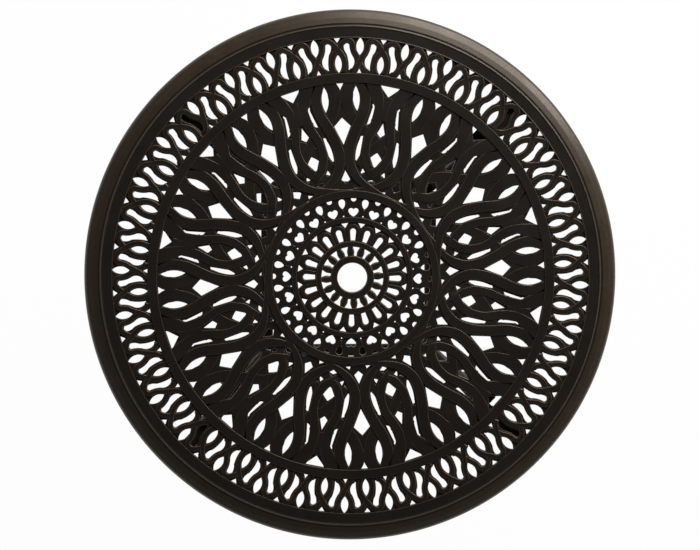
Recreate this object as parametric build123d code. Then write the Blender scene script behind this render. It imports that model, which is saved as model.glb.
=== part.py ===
from build123d import *
from math import cos, radians, sin
import os

# Round cast aluminium garden table: an openwork top of concentric castings round an umbrella hole, four
# curved legs on the diagonals, a square stretcher that ties the legs, and levelling feet.
# Millimetres, +Z up, origin on the floor under the middle of the top.

# Overall sizes
TOP_DIAMETER = 1074.0
TABLE_HEIGHT = 737.0
UMBRELLA_HOLE = 60.7

# Widths of the rings: from the edge inwards, then from the hole outwards. The field fills the rest.
RIM_WIDTH = 58.0
BAND_WIDTH = 70.8
MIDDLE_RING_WIDTH = 18.7
COLLAR_WIDTH = 12.8
SPOKE_LENGTH = 20.0
HUB_RING_WIDTH = 10.0
ROSETTE_WIDTH = 87.5
ROSETTE_RING_WIDTH = 14.3

# Repeats of the pattern in each ring, and how far the castings are turned from the leg axes, in degrees
BAND_REPEATS = 32
FIELD_REPEATS = 12
ROSETTE_REPEATS = 20
SPOKES = 16
LATTICE_TURN = 3.7
ROSETTE_TURN = -1.0

# Depths of the top
LATTICE_THICKNESS = 7.0
RING_PROUD = 2.5
RING_DEPTH = 20.0
RING_STEM = 6.0
RING_CHAMFER = 0.8
SEAM_GAP = 0.2

# Rim: a flat land, a bead, then an edge that falls away to a skirt
RIM_LAND = 22.5
RIM_LAP = 8.0
BEAD_WIDTH = 4.5
BEAD_RISE = 1.5
GROOVE_WIDTH = 2.5
GROOVE_DEPTH = 1.5
RIM_FALL = 14.0
RIM_CROWN = 0.09
RIM_DEPTH = 38.0
RIM_WALL = 5.0

# Legs: tops set out from the middle ring, waists from the stretcher, feet in from the edge
LEG_THICKNESS = 22.0
LEG_TOP_DEPTH = 28.0
LEG_WAIST_DEPTH = 36.0
LEG_FOOT_DEPTH = 30.0
LEG_SETOUT = 39.0
LUG_REACH = 20.0
FOOT_INSET = 118.0
LEG_CHAMFER = 3.0
LEG_STATIONS = 12
FOOT_BOSS_RADIUS = 16.0
FOOT_BOSS_HEIGHT = 14.0
FLANGE_THICKNESS = 8.0
FLANGE_WIDTH = 26.0
FLANGE_REACH = 35.0

# Brackets under the top that the legs bolt to
BRACKET_HEIGHT = 18.0
BRACKET_LENGTH = 80.0
BRACKET_SLOT_GAP = 0.6

# Square stretcher
STRETCHER_HEIGHT = 395.0
STRETCHER_SIDE = 389.0
STRETCHER_BAR = 22.5
STRETCHER_DEPTH = 25.0
STRETCHER_CHAMFER = 2.0
CORNER_WALL = 23.0
SEAT_INSET = 19.0

# Fasteners
BOLT_DIAMETER = 8.0
HEAD_ACROSS_FLATS = 13.0
HEAD_HEIGHT = 5.3
WASHER_DIAMETER = 16.0
WASHER_THICKNESS = 1.6
TOP_BOLT_OFFSET = 24.0
TOP_BOLT_GRIP = 12.0
CORNER_BOLT_GRIP = 24.0
BOLT_END_GAP = 1.0
BOLT_CLEARANCE = 0.5
THREAD_CLEARANCE = 0.1

# Levelling feet
PAD_DIAMETER = 30.0
PAD_HEIGHT = 10.0
PAD_FLOOR = 4.0
PAD_CHAMFER = 1.5
FOOT_STUD_DIAMETER = 8.0
FOOT_STUD_LENGTH = 36.0
FOOT_GAP = 2.0
STUD_CLEARANCE = 0.05

LEG_ANGLES = (45.0, 135.0, 225.0, 315.0)
LEG_NAMES = ("back_right", "back_left", "front_left", "front_right")

# Radii of the rings, legs and fasteners
HOLE_RADIUS = UMBRELLA_HOLE / 2
COLLAR_OUTER = HOLE_RADIUS + COLLAR_WIDTH
HUB_RING_INNER = COLLAR_OUTER + SPOKE_LENGTH
ROSETTE_INNER = HUB_RING_INNER + HUB_RING_WIDTH
ROSETTE_OUTER = ROSETTE_INNER + ROSETTE_WIDTH
FIELD_INNER = ROSETTE_OUTER + ROSETTE_RING_WIDTH
TOP_RADIUS = TOP_DIAMETER / 2
RIM_INNER = TOP_RADIUS - RIM_WIDTH
BAND_INNER = RIM_INNER - BAND_WIDTH
FIELD_OUTER = BAND_INNER - MIDDLE_RING_WIDTH
SEAT_RADIUS = STRETCHER_SIDE / 2 * 2**0.5 - SEAT_INSET
LEG_TOP_RADIUS = (FIELD_OUTER + BAND_INNER) / 2 + LEG_SETOUT
LEG_WAIST_RADIUS = SEAT_RADIUS + LUG_REACH
LEG_FOOT_RADIUS = TOP_RADIUS - FOOT_INSET
BOLT_RADIUS = BOLT_DIAMETER / 2
STUD_RADIUS = FOOT_STUD_DIAMETER / 2
TOP_BOLT_RADII = (LEG_TOP_RADIUS - TOP_BOLT_OFFSET, LEG_TOP_RADIUS + TOP_BOLT_OFFSET)

# Levels
RING_TOP = TABLE_HEIGHT - BEAD_RISE
LATTICE_TOP = RING_TOP - RING_PROUD
LATTICE_BOTTOM = LATTICE_TOP - LATTICE_THICKNESS
RING_BOTTOM = RING_TOP - RING_DEPTH
FLANGE_TOP = LATTICE_BOTTOM - BRACKET_HEIGHT
LEG_TOP = FLANGE_TOP - FLANGE_THICKNESS
LEG_BOTTOM = PAD_HEIGHT + FOOT_GAP

# The openings of each ring are drawn in one repeat of its pattern. A point is (along, across, bulge).
# Along runs from the ring's inner edge to its outer one, 0 to 100.
# Across runs clockwise from the middle of the repeat to its border, 0 to 100.
# Bulge is how far the edge to the next point bows out, as a share of its chord, taken clockwise.
# A pair stands on both sides of the middle.
BAND_OPENINGS = (
    [(52.8, 0, 0.19), (1, 0, 0.19)],
    [(99.2, -14.7, 0), (99.2, 14.7, 0), (85.4, 0, 0)],
    [(101, 100, 0.22), (50.6, 100, 0.22)],
    [(14.5, 100, 0), (1, 111.7, 0), (1, 88.3, 0)],
)
BAND_PAIRS = (
    [(8.1, -47.5, 0.26), (49.4, -66.1, 0), (80.4, -52.9, 0.38), (75.1, -27.4, 0), (53.7, -39.9, 0)],
)
FIELD_OPENINGS = (
    [(99.8, -20.9, 0), (99.8, 20.9, 0), (89.6, 0, 0)],
    [(99.8, 90.4, 0), (99.8, 109.6, 0), (93.4, 100, 0)],
    [(68, 100, 0), (60.1, 121, 0), (42.6, 100, 0), (60.1, 79, 0)],
    [(65.3, 0, 0), (55, 10.5, 0), (51.6, 0, 0), (55, -10.5, 0)],
    [(36.8, 0, 0.15), (30.3, 16.4, 0), (22.2, 0, 0), (30.3, -16.4, 0.15)],
    [(11.4, 0, 0), (9.8, 15.9, 0), (6.9, 0, 0), (9.8, -15.9, 0)],
    [(19.1, 100, 0), (10.4, 117.5, 0), (6.5, 100, 0), (10.4, 82.5, 0)],
)
FIELD_PAIRS = (
    [(97.5, -68.2, 0.13), (73.8, -64.1, 0.15)],
    [(78.9, -29.6, 0.28), (82.7, -26.9, 0.13), (66.6, -30.3, 0.26), (61.9, -39.4, 0)],
    [(48.6, -54.1, 0.31), (51, -45.8, 0), (33.6, -51.3, 0), (27.5, -62.6, 0), (29.2, -65.9, 0.06)],
    [(21, -38.4, 0), (17, -27.4, 0), (15.4, -38.5, 0), (16.6, -45.1, 0)],
    [(5.4, -64.5, 0), (2.8, -44.8, 0), (2.1, -68.5, 0)],
)
ROSETTE_OPENINGS = (
    [(98.6, -20.5, 0), (98.6, 20.5, 0.5)],
    [(73.6, 100, 0), (87.8, 71.3, 0.66), (87.8, 128.7, 0)],
    [(56.6, 0, 0), (66.5, -45, 0.47), (73, 0, 0.47), (66.5, 45, 0)],
    [(56.1, 100, 0.5), (60, 100, 0.5)],
    [(42.6, 57.5, 0), (42.6, 142.5, 0), (30.8, 100, 0)],
    [(1.7, -39.4, 0), (22.3, -41.9, 0.55), (22.3, 41.9, 0), (1.7, 39.4, 0)],
)
HEART_RING = (44.1, 55.2)
HUB_OPENINGS = (
    [(98, -59.3, 0), (98, 59.3, 0), (49.2, 34.2, 0), (13.2, 30.7, 0.4), (13.2, -30.7, 0), (49.2, -34.2, 0)],
)


def opening_wire(inner, outer, repeats, outline):
    """Closed outline of one opening, with the middle of its repeat along +X."""
    half_repeat = radians(180 / repeats)
    points = []
    for along, across, bulge in outline:
        radius = inner + (outer - inner) * along / 100
        angle = -half_repeat * across / 100
        points.append(Vector(radius * cos(angle), radius * sin(angle)))
    edges = []
    for index, (along, across, bulge) in enumerate(outline):
        start = points[index]
        end = points[(index + 1) % len(points)]
        chord = end - start
        crown = (start + end) / 2 + Vector(-chord.Y, chord.X) * bulge
        edges.append(ThreePointArc(start, crown, end) if bulge else Line(start, end))
    return Wire(edges)


def openwork(inner, outer, repeats, turn, outlines, inner_edge, outer_edge):
    """Flat casting between two edges, pierced by the outlines in every repeat."""
    wires = [opening_wire(inner, outer, repeats, outline) for outline in outlines]
    angles = [turn + 360 * repeat / repeats for repeat in range(repeats)]
    holes = [wire.rotate(Axis.Z, angle) for wire in wires for angle in angles]
    holes.append(Wire.make_circle(inner_edge))
    face = Face(Wire.make_circle(outer_edge), holes)
    return Pos(0, 0, LATTICE_BOTTOM) * extrude(face, LATTICE_THICKNESS)


def mirrored(outlines):
    """The outlines and their reflections about the middle of the repeat."""
    others = [[(along, -across, -bulge) for along, across, bulge in outline] for outline in outlines]
    return list(outlines) + others


def turned(*edges):
    """Solid of revolution about Z from a closed profile in radius and height."""
    return revolve(Plane.XZ * make_face(edges), Axis.Z)


def turned_outline(*points):
    """Solid of revolution from a profile with straight sides."""
    return turned(Polyline(*points, close=True))


def annulus(inner, outer, bottom, top):
    """Plain flat ring with chamfered upper edges."""
    return turned_outline(
        (inner, bottom),
        (outer, bottom),
        (outer, top - RING_CHAMFER),
        (outer - RING_CHAMFER, top),
        (inner + RING_CHAMFER, top),
        (inner, top - RING_CHAMFER),
    )


def stem_edges(inner, outer):
    """Inner and outer radius of the rib under a ring."""
    middle = (inner + outer) / 2
    return middle - RING_STEM / 2, middle + RING_STEM / 2


def tee_ring(inner, outer):
    """Ring whose cap covers the seam between two castings, with a stiffening rib below."""
    stem_inner, stem_outer = stem_edges(inner, outer)
    cap = annulus(inner, outer, LATTICE_TOP, RING_TOP)
    stem = turned_outline(
        (stem_inner, RING_BOTTOM),
        (stem_outer, RING_BOTTOM),
        (stem_outer, RING_TOP - RING_CHAMFER),
        (stem_inner, RING_TOP - RING_CHAMFER),
    )
    return cap + stem


HUB_STEM = stem_edges(HUB_RING_INNER, ROSETTE_INNER)
ROSETTE_STEM = stem_edges(ROSETTE_OUTER, FIELD_INNER)
MIDDLE_STEM = stem_edges(FIELD_OUTER, BAND_INNER)


def top_rim():
    """Outer rim: land, bead, groove, crowned fall and skirt, with a rib behind the band's edge."""
    land_end = RIM_INNER + RIM_LAND
    bead_end = land_end + BEAD_WIDTH
    fall_start = bead_end + GROOVE_WIDTH
    fall_top = RING_TOP - GROOVE_DEPTH
    skirt_top = RING_TOP - RIM_FALL
    skirt_bottom = RING_TOP - RIM_DEPTH
    skirt_inner = TOP_RADIUS - RIM_WALL
    stem_inner = RIM_INNER + RIM_LAP
    stem_outer = stem_inner + RING_STEM
    slope = Vector(TOP_RADIUS - fall_start, skirt_top - fall_top)
    crown = Vector(fall_start, fall_top) + slope / 2 + Vector(-slope.Y, slope.X) * RIM_CROWN
    return turned(
        Line((RIM_INNER, RING_TOP), (land_end, RING_TOP)),
        ThreePointArc((land_end, RING_TOP), (land_end + BEAD_WIDTH / 2, TABLE_HEIGHT), (bead_end, RING_TOP)),
        Line((bead_end, RING_TOP), (fall_start, fall_top)),
        ThreePointArc((fall_start, fall_top), crown, (TOP_RADIUS, skirt_top)),
        Polyline(
            (TOP_RADIUS, skirt_top),
            (TOP_RADIUS, skirt_bottom),
            (skirt_inner, skirt_bottom),
            (skirt_inner, skirt_top - RIM_WALL),
            (fall_start, LATTICE_BOTTOM),
            (stem_outer, LATTICE_BOTTOM),
            (stem_outer, RING_BOTTOM),
            (stem_inner, RING_BOTTOM),
            (stem_inner, LATTICE_TOP),
            (RIM_INNER, LATTICE_TOP),
            (RIM_INNER, RING_TOP),
        ),
    )


def outer_band():
    """Band of crossing wavy straps between the middle ring and the rim."""
    outlines = list(BAND_OPENINGS) + mirrored(BAND_PAIRS)
    inner_edge = MIDDLE_STEM[1] + SEAM_GAP
    outer_edge = RIM_INNER + RIM_LAP - SEAM_GAP
    return openwork(BAND_INNER, RIM_INNER, BAND_REPEATS, LATTICE_TURN, outlines, inner_edge, outer_edge)


def field_lattice():
    """Wide field of interlaced loops between the rosette ring and the middle ring."""
    outlines = list(FIELD_OPENINGS) + mirrored(FIELD_PAIRS)
    turn = LATTICE_TURN + 180 / FIELD_REPEATS
    inner_edge = ROSETTE_STEM[1] + SEAM_GAP
    outer_edge = MIDDLE_STEM[0] - SEAM_GAP
    return openwork(FIELD_INNER, FIELD_OUTER, FIELD_REPEATS, turn, outlines, inner_edge, outer_edge)


def rosette():
    """Rosette of hearts and drops outside a raised ring, with an arcade of slots inside it."""
    inner_edge = HUB_STEM[1] + SEAM_GAP
    outer_edge = ROSETTE_STEM[0] - SEAM_GAP
    plate = openwork(
        ROSETTE_INNER, ROSETTE_OUTER, ROSETTE_REPEATS, ROSETTE_TURN, ROSETTE_OPENINGS, inner_edge, outer_edge
    )
    ring_edges = [ROSETTE_INNER + ROSETTE_WIDTH * along / 100 for along in HEART_RING]
    return plate + annulus(*ring_edges, LATTICE_TOP, RING_TOP)


def hub():
    """Umbrella collar, baluster spokes and the hub ring, cast in one."""
    turn = LATTICE_TURN + 180 / SPOKES
    inner_edge = COLLAR_OUTER - COLLAR_WIDTH / 2
    outer_edge = sum(HUB_STEM) / 2
    spokes = openwork(COLLAR_OUTER, HUB_RING_INNER, SPOKES, turn, HUB_OPENINGS, inner_edge, outer_edge)
    collar = turned_outline(
        (HOLE_RADIUS, RING_BOTTOM),
        (COLLAR_OUTER, RING_BOTTOM),
        (COLLAR_OUTER, RING_TOP - RING_CHAMFER),
        (COLLAR_OUTER - RING_CHAMFER, RING_TOP),
        (HOLE_RADIUS, RING_TOP),
    )
    return spokes + collar + tee_ring(HUB_RING_INNER, ROSETTE_INNER)


def rod(radius, bottom, top, x=0.0):
    """Upright round rod."""
    return Pos(x, 0, bottom) * extrude(Circle(radius), top - bottom)


def block(x_start, x_end, width, bottom, top):
    """Block along X, centred across."""
    return Pos((x_start + x_end) / 2, 0, bottom) * extrude(Rectangle(x_end - x_start, width), top - bottom)


def lying(part, x, height):
    """An upright piece laid along +X, with its origin at the given radius and height."""
    return Pos(x, 0, height) * Rot(0, 90, 0) * part


def leg_body():
    """Curved bar: a spine from the top by the waist to the foot, with half its depth on each side."""
    down = (0, -1)
    marks = ((LEG_TOP_RADIUS, LEG_TOP), (LEG_WAIST_RADIUS, STRETCHER_HEIGHT), (LEG_FOOT_RADIUS, LEG_BOTTOM))
    spine = Spline(*marks, tangents=(down, down, down))
    depths = Spline((0, LEG_TOP_DEPTH), (0.5, LEG_WAIST_DEPTH), (1, LEG_FOOT_DEPTH))
    sides = {-1: [], 1: []}
    for step in range(LEG_STATIONS + 1):
        station = step / LEG_STATIONS
        along = spine % station
        across = Vector(-along.Y, along.X)
        half_depth = (depths @ station).Y / 2
        for side, points in sides.items():
            points.append(spine @ station + across * (side * half_depth))
    inner, outer = sides[-1], sides[1]
    ends = [Line(inner[0], outer[0]), Line(inner[-1], outer[-1])]
    outline = make_face([Spline(*inner), Spline(*outer), *ends])
    body = extrude(Plane.XZ * outline, LEG_THICKNESS / 2, both=True)
    long_edges = body.faces().filter_by(Axis.Y).edges().filter_by(GeomType.BSPLINE)
    return chamfer(long_edges, LEG_CHAMFER)


def leg():
    """Leg with its top flange, the lug at its waist that seats the stretcher, and a round foot boss."""
    flange = block(
        LEG_TOP_RADIUS - FLANGE_REACH, LEG_TOP_RADIUS + FLANGE_REACH, FLANGE_WIDTH, LEG_TOP, FLANGE_TOP
    )
    lug = block(
        SEAT_RADIUS,
        LEG_WAIST_RADIUS,
        LEG_THICKNESS,
        STRETCHER_HEIGHT - STRETCHER_DEPTH / 2,
        STRETCHER_HEIGHT + STRETCHER_DEPTH / 2,
    )
    boss = rod(FOOT_BOSS_RADIUS, LEG_BOTTOM, LEG_BOTTOM + FOOT_BOSS_HEIGHT, LEG_FOOT_RADIUS)
    part = leg_body() + flange + lug + boss
    for x in TOP_BOLT_RADII:
        part -= rod(BOLT_RADIUS + BOLT_CLEARANCE, LEG_TOP, FLANGE_TOP, x)
    part -= lying(rod(BOLT_RADIUS + THREAD_CLEARANCE, 0, CORNER_BOLT_GRIP), SEAT_RADIUS, STRETCHER_HEIGHT)
    stud_hole_end = PAD_FLOOR + FOOT_STUD_LENGTH + FOOT_GAP
    return part - rod(STUD_RADIUS + STUD_CLEARANCE, LEG_BOTTOM, stud_hole_end, LEG_FOOT_RADIUS)


def leg_bracket():
    """Block under the band and the middle ring, slotted over the ring's rib, tapped for the leg's bolts."""
    outer_end = LEG_TOP_RADIUS + TOP_BOLT_OFFSET + WASHER_DIAMETER / 2
    part = block(outer_end - BRACKET_LENGTH, outer_end, FLANGE_WIDTH, FLANGE_TOP, LATTICE_BOTTOM)
    slot = (MIDDLE_STEM[0] - BRACKET_SLOT_GAP, MIDDLE_STEM[1] + BRACKET_SLOT_GAP)
    part -= block(*slot, FLANGE_WIDTH, RING_BOTTOM, LATTICE_BOTTOM)
    for x in TOP_BOLT_RADII:
        part -= rod(BOLT_RADIUS + THREAD_CLEARANCE, FLANGE_TOP, FLANGE_TOP + TOP_BOLT_GRIP, x)
    return part


def eight_sided(side, cut_radius):
    """Square with its corners cut square to the diagonals at a radius."""
    return Rectangle(side, side) & Rot(0, 0, 45) * Rectangle(2 * cut_radius, 2 * cut_radius)


def stretcher_frame():
    """Square frame with cut corners that seat on the legs, drilled along the diagonals."""
    outer = eight_sided(STRETCHER_SIDE, SEAT_RADIUS)
    inner = eight_sided(STRETCHER_SIDE - 2 * STRETCHER_BAR, SEAT_RADIUS - CORNER_WALL)
    bars = extrude(outer - inner, STRETCHER_DEPTH / 2, both=True)
    rims = bars.faces().filter_by(Axis.Z).edges()
    part = Pos(0, 0, STRETCHER_HEIGHT) * chamfer(rims, STRETCHER_CHAMFER)
    hole = rod(BOLT_RADIUS + BOLT_CLEARANCE, 0, CORNER_WALL)
    drill = lying(hole, SEAT_RADIUS - CORNER_WALL, STRETCHER_HEIGHT)
    for angle in LEG_ANGLES:
        part -= Rot(0, 0, angle) * drill
    return part


def bolt(grip):
    """Hexagon bolt with its shank along +Z from the underside of its head."""
    head = Pos(0, 0, -HEAD_HEIGHT) * extrude(
        RegularPolygon(HEAD_ACROSS_FLATS / 2, 6, major_radius=False), HEAD_HEIGHT
    )
    return head + rod(BOLT_RADIUS, 0, grip)


def washer():
    """Plain washer standing on Z = 0."""
    face = Circle(WASHER_DIAMETER / 2) - Circle(BOLT_RADIUS + BOLT_CLEARANCE)
    return extrude(face, WASHER_THICKNESS)


def around_legs(part):
    """Copies of a piece at the four legs."""
    return [Rot(0, 0, angle) * part for angle in LEG_ANGLES]


def at_top_bolts(part, height):
    """Copies of a piece at every bolt between legs and brackets."""
    return [copy for x in TOP_BOLT_RADII for copy in around_legs(Pos(x, 0, height) * part)]


def top_bolts():
    """Bolts up through the leg flanges into the brackets."""
    reach = WASHER_THICKNESS + FLANGE_THICKNESS + TOP_BOLT_GRIP - BOLT_END_GAP
    return at_top_bolts(bolt(reach), LEG_TOP - WASHER_THICKNESS)


def top_washers():
    """Washers under the heads of the top bolts."""
    return at_top_bolts(washer(), LEG_TOP - WASHER_THICKNESS)


def corner_bolts():
    """Bolts outwards through the stretcher's corners into the legs."""
    head_seat = SEAT_RADIUS - CORNER_WALL - WASHER_THICKNESS
    reach = WASHER_THICKNESS + CORNER_WALL + CORNER_BOLT_GRIP - BOLT_END_GAP
    return around_legs(lying(bolt(reach), head_seat, STRETCHER_HEIGHT))


def corner_washers():
    """Washers under the heads of the corner bolts."""
    return around_legs(lying(washer(), SEAT_RADIUS - CORNER_WALL - WASHER_THICKNESS, STRETCHER_HEIGHT))


def foot_pad():
    """Round pad with a chamfered sole and a blind hole for its stud."""
    pad = chamfer(extrude(Circle(PAD_DIAMETER / 2), PAD_HEIGHT).edges(), PAD_CHAMFER)
    return Pos(LEG_FOOT_RADIUS, 0, 0) * (pad - rod(STUD_RADIUS + STUD_CLEARANCE, PAD_FLOOR, PAD_HEIGHT))


def foot_stud():
    """Threaded stud from the pad up into the leg."""
    return rod(STUD_RADIUS, PAD_FLOOR, PAD_FLOOR + FOOT_STUD_LENGTH, LEG_FOOT_RADIUS)


def save(name, parts):
    """Write one piece, or a group of separate pieces, to its own file."""
    shape = Compound(children=[Part(part.wrapped) for part in parts]) if isinstance(parts, list) else parts
    export_step(shape, os.path.join("parts", name + ".step"))


os.makedirs("parts", exist_ok=True)
save("top_rim", top_rim())
save("outer_band", outer_band())
save("middle_ring", tee_ring(FIELD_OUTER, BAND_INNER))
save("field_lattice", field_lattice())
save("rosette_ring", tee_ring(ROSETTE_OUTER, FIELD_INNER))
save("rosette", rosette())
save("hub", hub())
save("stretcher_frame", stretcher_frame())
save("top_bolts", top_bolts())
save("top_washers", top_washers())
save("corner_bolts", corner_bolts())
save("corner_washers", corner_washers())
AT_EACH_LEG = {"leg": leg(), "leg_bracket": leg_bracket(), "foot_pad": foot_pad(), "foot_stud": foot_stud()}
for piece, part in AT_EACH_LEG.items():
    for place, copy in zip(LEG_NAMES, around_legs(part)):
        save(piece + "_" + place, copy)
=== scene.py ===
"""Looks of a round openwork garden table, cast in aluminium with a dark bronze coat, on a white studio floor."""

import logging
from dataclasses import dataclass
from enum import Enum

import bpy
import numpy as np
from mathutils import Matrix, Vector
from mathutils.geometry import tessellate_polygon


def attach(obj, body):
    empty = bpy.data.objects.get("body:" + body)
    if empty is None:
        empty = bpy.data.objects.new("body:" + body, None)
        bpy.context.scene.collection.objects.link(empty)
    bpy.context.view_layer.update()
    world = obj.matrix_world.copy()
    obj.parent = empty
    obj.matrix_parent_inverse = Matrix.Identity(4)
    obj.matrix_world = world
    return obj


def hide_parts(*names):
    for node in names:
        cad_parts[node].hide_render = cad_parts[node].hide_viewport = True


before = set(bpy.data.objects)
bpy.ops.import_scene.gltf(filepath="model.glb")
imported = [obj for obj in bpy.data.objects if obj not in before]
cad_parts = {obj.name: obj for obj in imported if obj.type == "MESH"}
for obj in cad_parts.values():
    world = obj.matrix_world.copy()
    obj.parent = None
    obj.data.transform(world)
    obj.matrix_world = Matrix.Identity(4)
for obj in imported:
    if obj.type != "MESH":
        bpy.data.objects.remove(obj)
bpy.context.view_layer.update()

Array = np.ndarray
Table = tuple[tuple[float, ...], ...]
# Width of the features in millimetres, detail and roughness
Noise = tuple[float, float, float]
# Inner end, outer end, right side, left side, underside and top
Box = tuple[float, float, float, float, float, float]
MM = 0.001
LOG = logging.getLogger("garden_table")
LEG_ANGLES = {"back_right": 45.0, "back_left": 135.0, "front_left": 225.0, "front_right": 315.0}
ACROSS_X = np.array([1.0, -1.0, 1.0])
NO_TRIANGLES = np.zeros((0, 3), dtype=int)
LEAST_FILLET = 0.01
# A straight side of an opening is drawn as an arc of this small angle
FLAT_ARC = 1e-5
# Least divisor when an offset is lengthened at a corner, which holds back sharp ones
SHARP_LIMIT = 0.5
# Angles of the points on a rounded edge
QUARTER = np.radians([0.0, 30.0, 60.0, 90.0])
# Sockets of a node that maps one range of values to another
RANGE = ("From Min", "From Max", "To Min", "To Max")


class Slot(Enum):
    """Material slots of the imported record."""

    COATED_ALUMINIUM = "coated_cast_aluminium"
    ZINC_STEEL = "zinc_plated_steel"
    NYLON = "black_nylon"


class Level(Enum):
    """Heights of the cast top above the floor, in millimetres."""

    RING_TOP = 735.5
    MERGED = 733.4
    SEAM_BOTTOM = 732.6
    PLATE_TOP = 732.2
    RECESS = 731.2
    CAST_BOTTOM = 726.0
    RIB_BOTTOM = 715.5


def linear(hex_colour: str) -> tuple[float, float, float, float]:
    """Turn an sRGB hex colour into linear light.

    Args:
        hex_colour: colour as "#RRGGBB".

    Returns:
        Red, green, blue and full alpha, each from 0 to 1.
    """
    srgb = np.array([int(hex_colour[i : i + 2], 16) / 255 for i in (1, 3, 5)])
    light = np.where(srgb <= 0.04045, srgb / 12.92, ((srgb + 0.055) / 1.055) ** 2.4)
    return (*light.tolist(), 1.0)


def per_metre(size_mm: float) -> float:
    """Scale of a pattern whose features are this many millimetres wide."""
    return 1.0 / (size_mm * MM)


def add_node(
    tree: bpy.types.NodeTree,
    kind: str,
    attributes: dict | None = None,
    inputs: dict | None = None,
    links: dict | None = None,
) -> bpy.types.Node:
    """Add a shader node with its settings and the links into it.

    Args:
        tree: node tree that gets the node.
        kind: node type name.
        attributes: settings of the node itself.
        inputs: values for its input sockets.
        links: output sockets to join to its input sockets.

    Returns:
        The new node.
    """
    node = tree.nodes.new(kind)
    for name, value in (attributes or {}).items():
        setattr(node, name, value)
    for socket, value in (inputs or {}).items():
        node.inputs[socket].default_value = value
    for socket, source in (links or {}).items():
        tree.links.new(source, node.inputs[socket])
    return node


def blank_material(name: str) -> tuple[bpy.types.Material, bpy.types.NodeTree]:
    """Make a material with an empty node tree.

    Args:
        name: name of the finish.

    Returns:
        The material and its tree.
    """
    material = bpy.data.materials.new(name)
    material.use_nodes = True
    material.node_tree.nodes.clear()
    return material, material.node_tree


@dataclass(frozen=True)
class Finish:
    """What all finishes share: noises in the piece's own coordinates, a span of roughness and a fine bump."""

    name: str
    roughness: tuple[float, float]
    bump: float
    bump_mm: float
    # Span of the noise that the roughness follows
    gloss_span: tuple[float, float] = (0.0, 1.0)

    def begin(self, *noises: Noise) -> tuple[bpy.types.Material, bpy.types.NodeTree, list[bpy.types.NodeSocket]]:
        """Start the material with its noises.

        Args:
            noises: the noises that it is made of.

        Returns:
            The material, its tree and the output of each noise.
        """
        material, tree = blank_material(self.name)
        place = add_node(tree, "ShaderNodeTexCoord").outputs["Object"]
        sockets = []
        for width, detail, roughness in noises:
            inputs = {"Scale": per_metre(width), "Detail": detail, "Roughness": roughness}
            noise = add_node(tree, "ShaderNodeTexNoise", inputs=inputs, links={"Vector": place})
            sockets.append(noise.outputs["Fac"])
        return material, tree, sockets

    def end(
        self,
        tree: bpy.types.NodeTree,
        colour: bpy.types.NodeSocket,
        gloss: bpy.types.NodeSocket,
        height: bpy.types.NodeSocket,
        inputs: dict | None = None,
    ) -> None:
        """Join colour, roughness and bump in the shader, and that to the output.

        Args:
            tree: the material's tree.
            colour: colour of the surface.
            gloss: noise that the roughness follows.
            height: relief of the surface.
            inputs: further values of the shader.
        """
        span = dict(zip(RANGE, self.gloss_span + self.roughness))
        rough = add_node(tree, "ShaderNodeMapRange", inputs=span, links={"Value": gloss})
        relief = {"Strength": self.bump, "Distance": self.bump_mm * MM}
        bump = add_node(tree, "ShaderNodeBump", inputs=relief, links={"Height": height})
        links = {"Base Color": colour, "Roughness": rough.outputs["Result"], "Normal": bump.outputs["Normal"]}
        shader = add_node(tree, "ShaderNodeBsdfPrincipled", inputs=inputs, links=links)
        add_node(tree, "ShaderNodeOutputMaterial", links={"Surface": shader.outputs["BSDF"]})


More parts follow.
